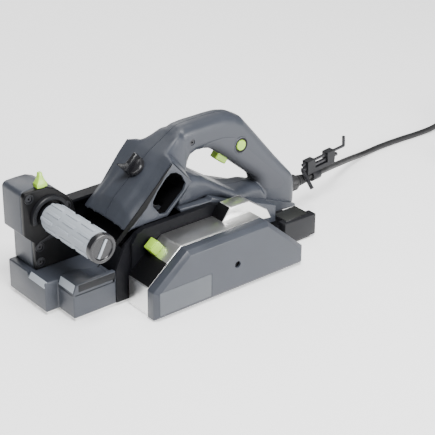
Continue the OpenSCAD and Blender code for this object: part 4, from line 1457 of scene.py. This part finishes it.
@dataclass
class BeltCase:
    """The bright belt case with its cover, blank plate, screw and the spindle's lock.

    Attributes:
        near: where the cover's face is.
        seam: where the cover meets the case.
        far: where the case meets the flank.
    """

    near: float = -52.7
    seam: float = -37.8
    far: float = -3.92

    def build(self) -> None:
        """Builds the pieces."""
        profile = [(78, 1.6), (78, 34), (119.5, 67), (222, 67), (273, 22.5), (273, 1.6)]
        flange = [(180, 60), (195, 80), (221, 80), (246, 62), (252, 50)]
        button = framed(at(107.4, -12.2, 57.4), -38.9)
        case = eased(prism(profile, self.seam, self.far), 1.6, 4)
        case = cut(case, prism(shrunk(profile, 2.6), self.seam - 1, self.far - 3),
                   chunk(-6.6, 6.6, -6.6, 6.6, -6, 6, button))
        ridge = eased(prism(flange, -22, self.far), 1.6, 4)
        stand_for(link(joined(case, ridge), "belt_case", BRIGHT, "body"), "belt_housing")
        # A thin near-black sheet on the case's front slope: painted shade, standing for the dark reflection
        # that the slope shows.
        wedge = bmesh.new()
        lean = Matrix.Rotation(math.radians(-38.5), 3, "Y")
        brick(wedge, at(90.4, -20.8, 43.7), (0.0300, 0.0328, 0.0008), lean, 0.0003)
        link(wedge, "belt_case_slope_painted_shade", DARK_PARTS_AND_PAINTED_SHADE, "body")
        # A thin near-black sheet on the flange's front slope: painted shade, for the slope being darker than
        # the lit top.
        brow = bmesh.new()
        brick(brow, at(187.6, -12.9, 70.2), (0.024, 0.0170, 0.0008),
              Matrix.Rotation(math.radians(-53.2), 3, "Y"), 0.0003)
        link(brow, "flange_slope_painted_shade", DARK_PARTS_AND_PAINTED_SHADE, "body")
        self.cover()
        self.lock()

    def cover(self) -> None:
        """Builds the chamfered cover with its screw and blank plate."""
        profile = [(76.4, 1.6), (76.4, 33), (118.5, 66.6), (222.4, 66.6), (272.6, 21.8), (272.6, 1.6)]
        bm = prism(profile, self.near, self.seam - 0.15)
        rim = [e for e in bm.edges if all(abs(v.co.y - at(0, self.near, 0).y) < 1e-6 for v in e.verts)]
        bmesh.ops.bevel(bm, geom=rim, offset=0.0044, offset_type="OFFSET", segments=1, profile=0.5,
                        affect="EDGES",
                        clamp_overlap=True, material=-1)
        eased(bm, 0.7, 3, 20.0)
        cover = cut(bm, prism(shrunk(profile, 3.4), self.near + 2.8, self.seam + 1),
                    rod(180.7, 31.7, 3.7, self.near - 1, self.seam - 8),
                    block(81, 147, self.near - 1, self.near + 0.6, 6.5, 33))
        stand_for(link(cover, "belt_case_cover", BLUE_GREY, "body"), "belt_cover")
        plate = bmesh.new()
        brick(plate, at(114, self.near + 0.35, 19.75), (0.0652, 0.0005, 0.0258), None, 0.00012)
        stand_for(link(plate, "blank_name_plate", PORT_GREY, "body"), "name_plate")
        dress("cover_screw", DARK_STEEL, 0.15)

    def lock(self) -> None:
        """Builds the green button that locks the spindle."""
        frame = framed(at(107.4, -12.2, 57.4), -38.9)
        bm = eased(chunk(-6.3, 6.3, -6.3, 6.3, -2, 10, frame), 0.9, 3)
        top = eased(chunk(-4.4, 4.4, -4.4, 4.4, 9, 10.9, frame), 0.5, 2)
        stand_for(link(joined(bm, top), "spindle_lock_button", GREEN, "spindle_lock"), "spindle_lock")


@dataclass
class HeelBox:
    """The black box beside the heel, with its blank plate, screws and parking shoe."""

    front: float = 281.0
    back: float = 326.0

    def build(self) -> None:
        """Builds the pieces."""
        tall = eased(block(self.front, self.back, -12, -0.05, 3, 28), 1.2, 3)
        deck = eased(block(self.front, self.back, -3, 21, 24.3, 28), 1.0, 3)
        box = cut(joined(tall, deck), block(self.front + 8, self.back - 4, -10, -2, 2, 14),
                  rod(295, 9, 2.0, -11, -1))
        stand_for(link(box, "heel_box", NEAR_BLACK, "body"), "rear_housing")
        plate = bmesh.new()
        brick(plate, at(303, 4, 28.3), (0.030, 0.020, 0.0006), None, 0.0002)
        for x in (289.6, 316.4):
            for y in (-5.0, 13.0):
                bar_of(plate, at(x, y, 28.3), at(x, y, 28.9), 0.0008, 16)
        stand_for(link(plate, "blank_rating_plate", PLATE, "body"), "rating_plate")
        rim = cut(eased(block(286.4, 319.6, -7.6, 15.6, 27.6, 28.5), 0.3, 2),
                  block(287.6, 318.4, -6.4, 14.4, 27, 30))
        link(rim, "rating_plate_rim", GLOSS_BLACK, "body")
        dress("parking_shoe", GLOSS_BLACK, 0.5)
        dress("shoe_pin", STEEL)


@dataclass
class Base:
    """The black casting, its soles, screws, chip duct and the drum's guard."""

    def build(self) -> None:
        """Dresses the pieces that keep their CAD shapes and rounds their edges."""
        dress("base_frame", BLACK_CAST, 0.8)
        dress("rear_sole", MACHINED, 0.4)
        dress("sole_screws", STEEL, 0.2)
        dress("drum_guard", NEAR_BLACK, 0.7)
        dress("chip_duct", DUCT_BLACK, 0.4)


@dataclass
class Controls:
    """The trigger, the lock button, and the selector with its pointer."""

    def build(self) -> None:
        """Builds the pieces."""
        frame = trigger_frame()
        bm = eased(chunk(-8.5, 8.5, -5, 5, -5, 8, frame), 1.2, 3)
        ribs = [eased(chunk(x - 0.5, x + 0.5, -3.6, 3.6, -5.3, -4.5, frame), 0.2, 2) for x in (-5, -2.5, 0,
                                                                                               2.5, 5)]
        stand_for(link(joined(bm, *ribs), "switch_trigger", GREEN, "trigger"), "trigger")
        button = joined(eased(rod(*BUTTON, 6, 24.5, 30), 1.1, 3), rod(*BUTTON, 3, 29, 47))
        stand_for(link(button, "lock_on_button", GREEN, "lock_button"), "lock_button")
        well = cut(rod(*BUTTON, 8.4, 25.4, 28.6), rod(*BUTTON, 6.5, 20, 34))
        link(well, "lock_button_well", DARK_PARTS_AND_PAINTED_SHADE, "body")
        rim = cut(eased(rod(*BUTTON, 9.6, 25.2, 27.4), 0.5, 2), rod(*BUTTON, 8.3, 20, 34))
        link(rim, "lock_button_rim", BLUE_GREY, "body")
        self.selector()

    def selector(self) -> None:
        """Builds the selector: a round base with a tall pointer that leans back."""
        frame = framed(at(124, 42, 122.6), -42)
        base = bmesh.new()
        outline = [(0.0, -7.0), (4.0, -7.0), (4.0, 1.0), (10.0, 1.0), (11.0, 1.8), (11.0, 4.6), (10.2, 6.2),
                   (8.4, 7.0),
                   (0.0, 7.2)]
        turned(base, [(r * MM, h * MM) for r, h in outline], Vector((0, 0, 0)), Vector((0.0, 0.0, 1.0)), 56)
        bmesh.ops.transform(base, matrix=frame, verts=base.verts)
        wing = eased(chunk(-10.8, 10.8, -2.6, 2.6, 6, 13.2, frame), 1.1, 3)
        fin = bmesh.new()
        rings = []
        for height, x0, x1, half in ((11, -10.8, -1, 2.2), (15, -10.9, -4.6, 1.9), (19, -11.0, -7.2, 1.5),
                                     (22.9, -11.0, -9.4, 0.9)):
            rings.append([frame @ (Vector(((x0 + x1) / 2 + u, v, height)) * MM)
                          for u, v in soft_square((x1 - x0) / 2, half, 0.7, 3)])
        loft(rings, fin)
        knob = joined(base, wing, fin)
        stand_for(link(knob, "port_selector", GLOSS_BLACK, "selector"), "selector_knob")


@dataclass
class InnerWorks:
    """The pieces inside, which keep their CAD shapes and get their own finishes."""

    finishes: dict[str, Finish] = field(default_factory=lambda: {
        "stator": DARK_STEEL, "brush_holder": NEAR_BLACK, "brushes": DARK_STEEL, "ball_bearings": STEEL,
        "drive_belt": RUBBER, "electronics": CIRCUIT, "switch": NEAR_BLACK, "lead_socket": GLOSS_BLACK,
        "rotor": COPPER, "motor_shaft": STEEL, "fan": NEAR_BLACK, "motor_pulley": STEEL,
        "cutter_drum": BRIGHT,
        "drum_shaft": STEEL, "blade": STEEL, "blade_screws": DARK_STEEL, "drum_pulley": STEEL,
        "lift_rod": STEEL,
        "depth_spindle": STEEL, "chip_deflector": NEAR_BLACK, "grip_core": NEAR_BLACK})

    def build(self) -> None:
        """Gives each piece its finish."""
        for node, finish in self.finishes.items():
            dress(node, finish, 0.25)


def main() -> None:
    """Builds the scene in order and reports each piece."""
    logging.basicConfig(level=logging.INFO, format="%(name)s: %(message)s")
    studio = Studio()
    studio.camera()
    MainsLead().build()
    studio.light()
    studio.floor()
    for assembly in (Toe(), Post(), FrontHandle(), HandleShells(), BeltCase(), HeelBox(), Base(), Controls(),
                     InnerWorks()):
        LOG.info("building %s", type(assembly).__name__)
        assembly.build()


if __name__ == "__main__":
    main()
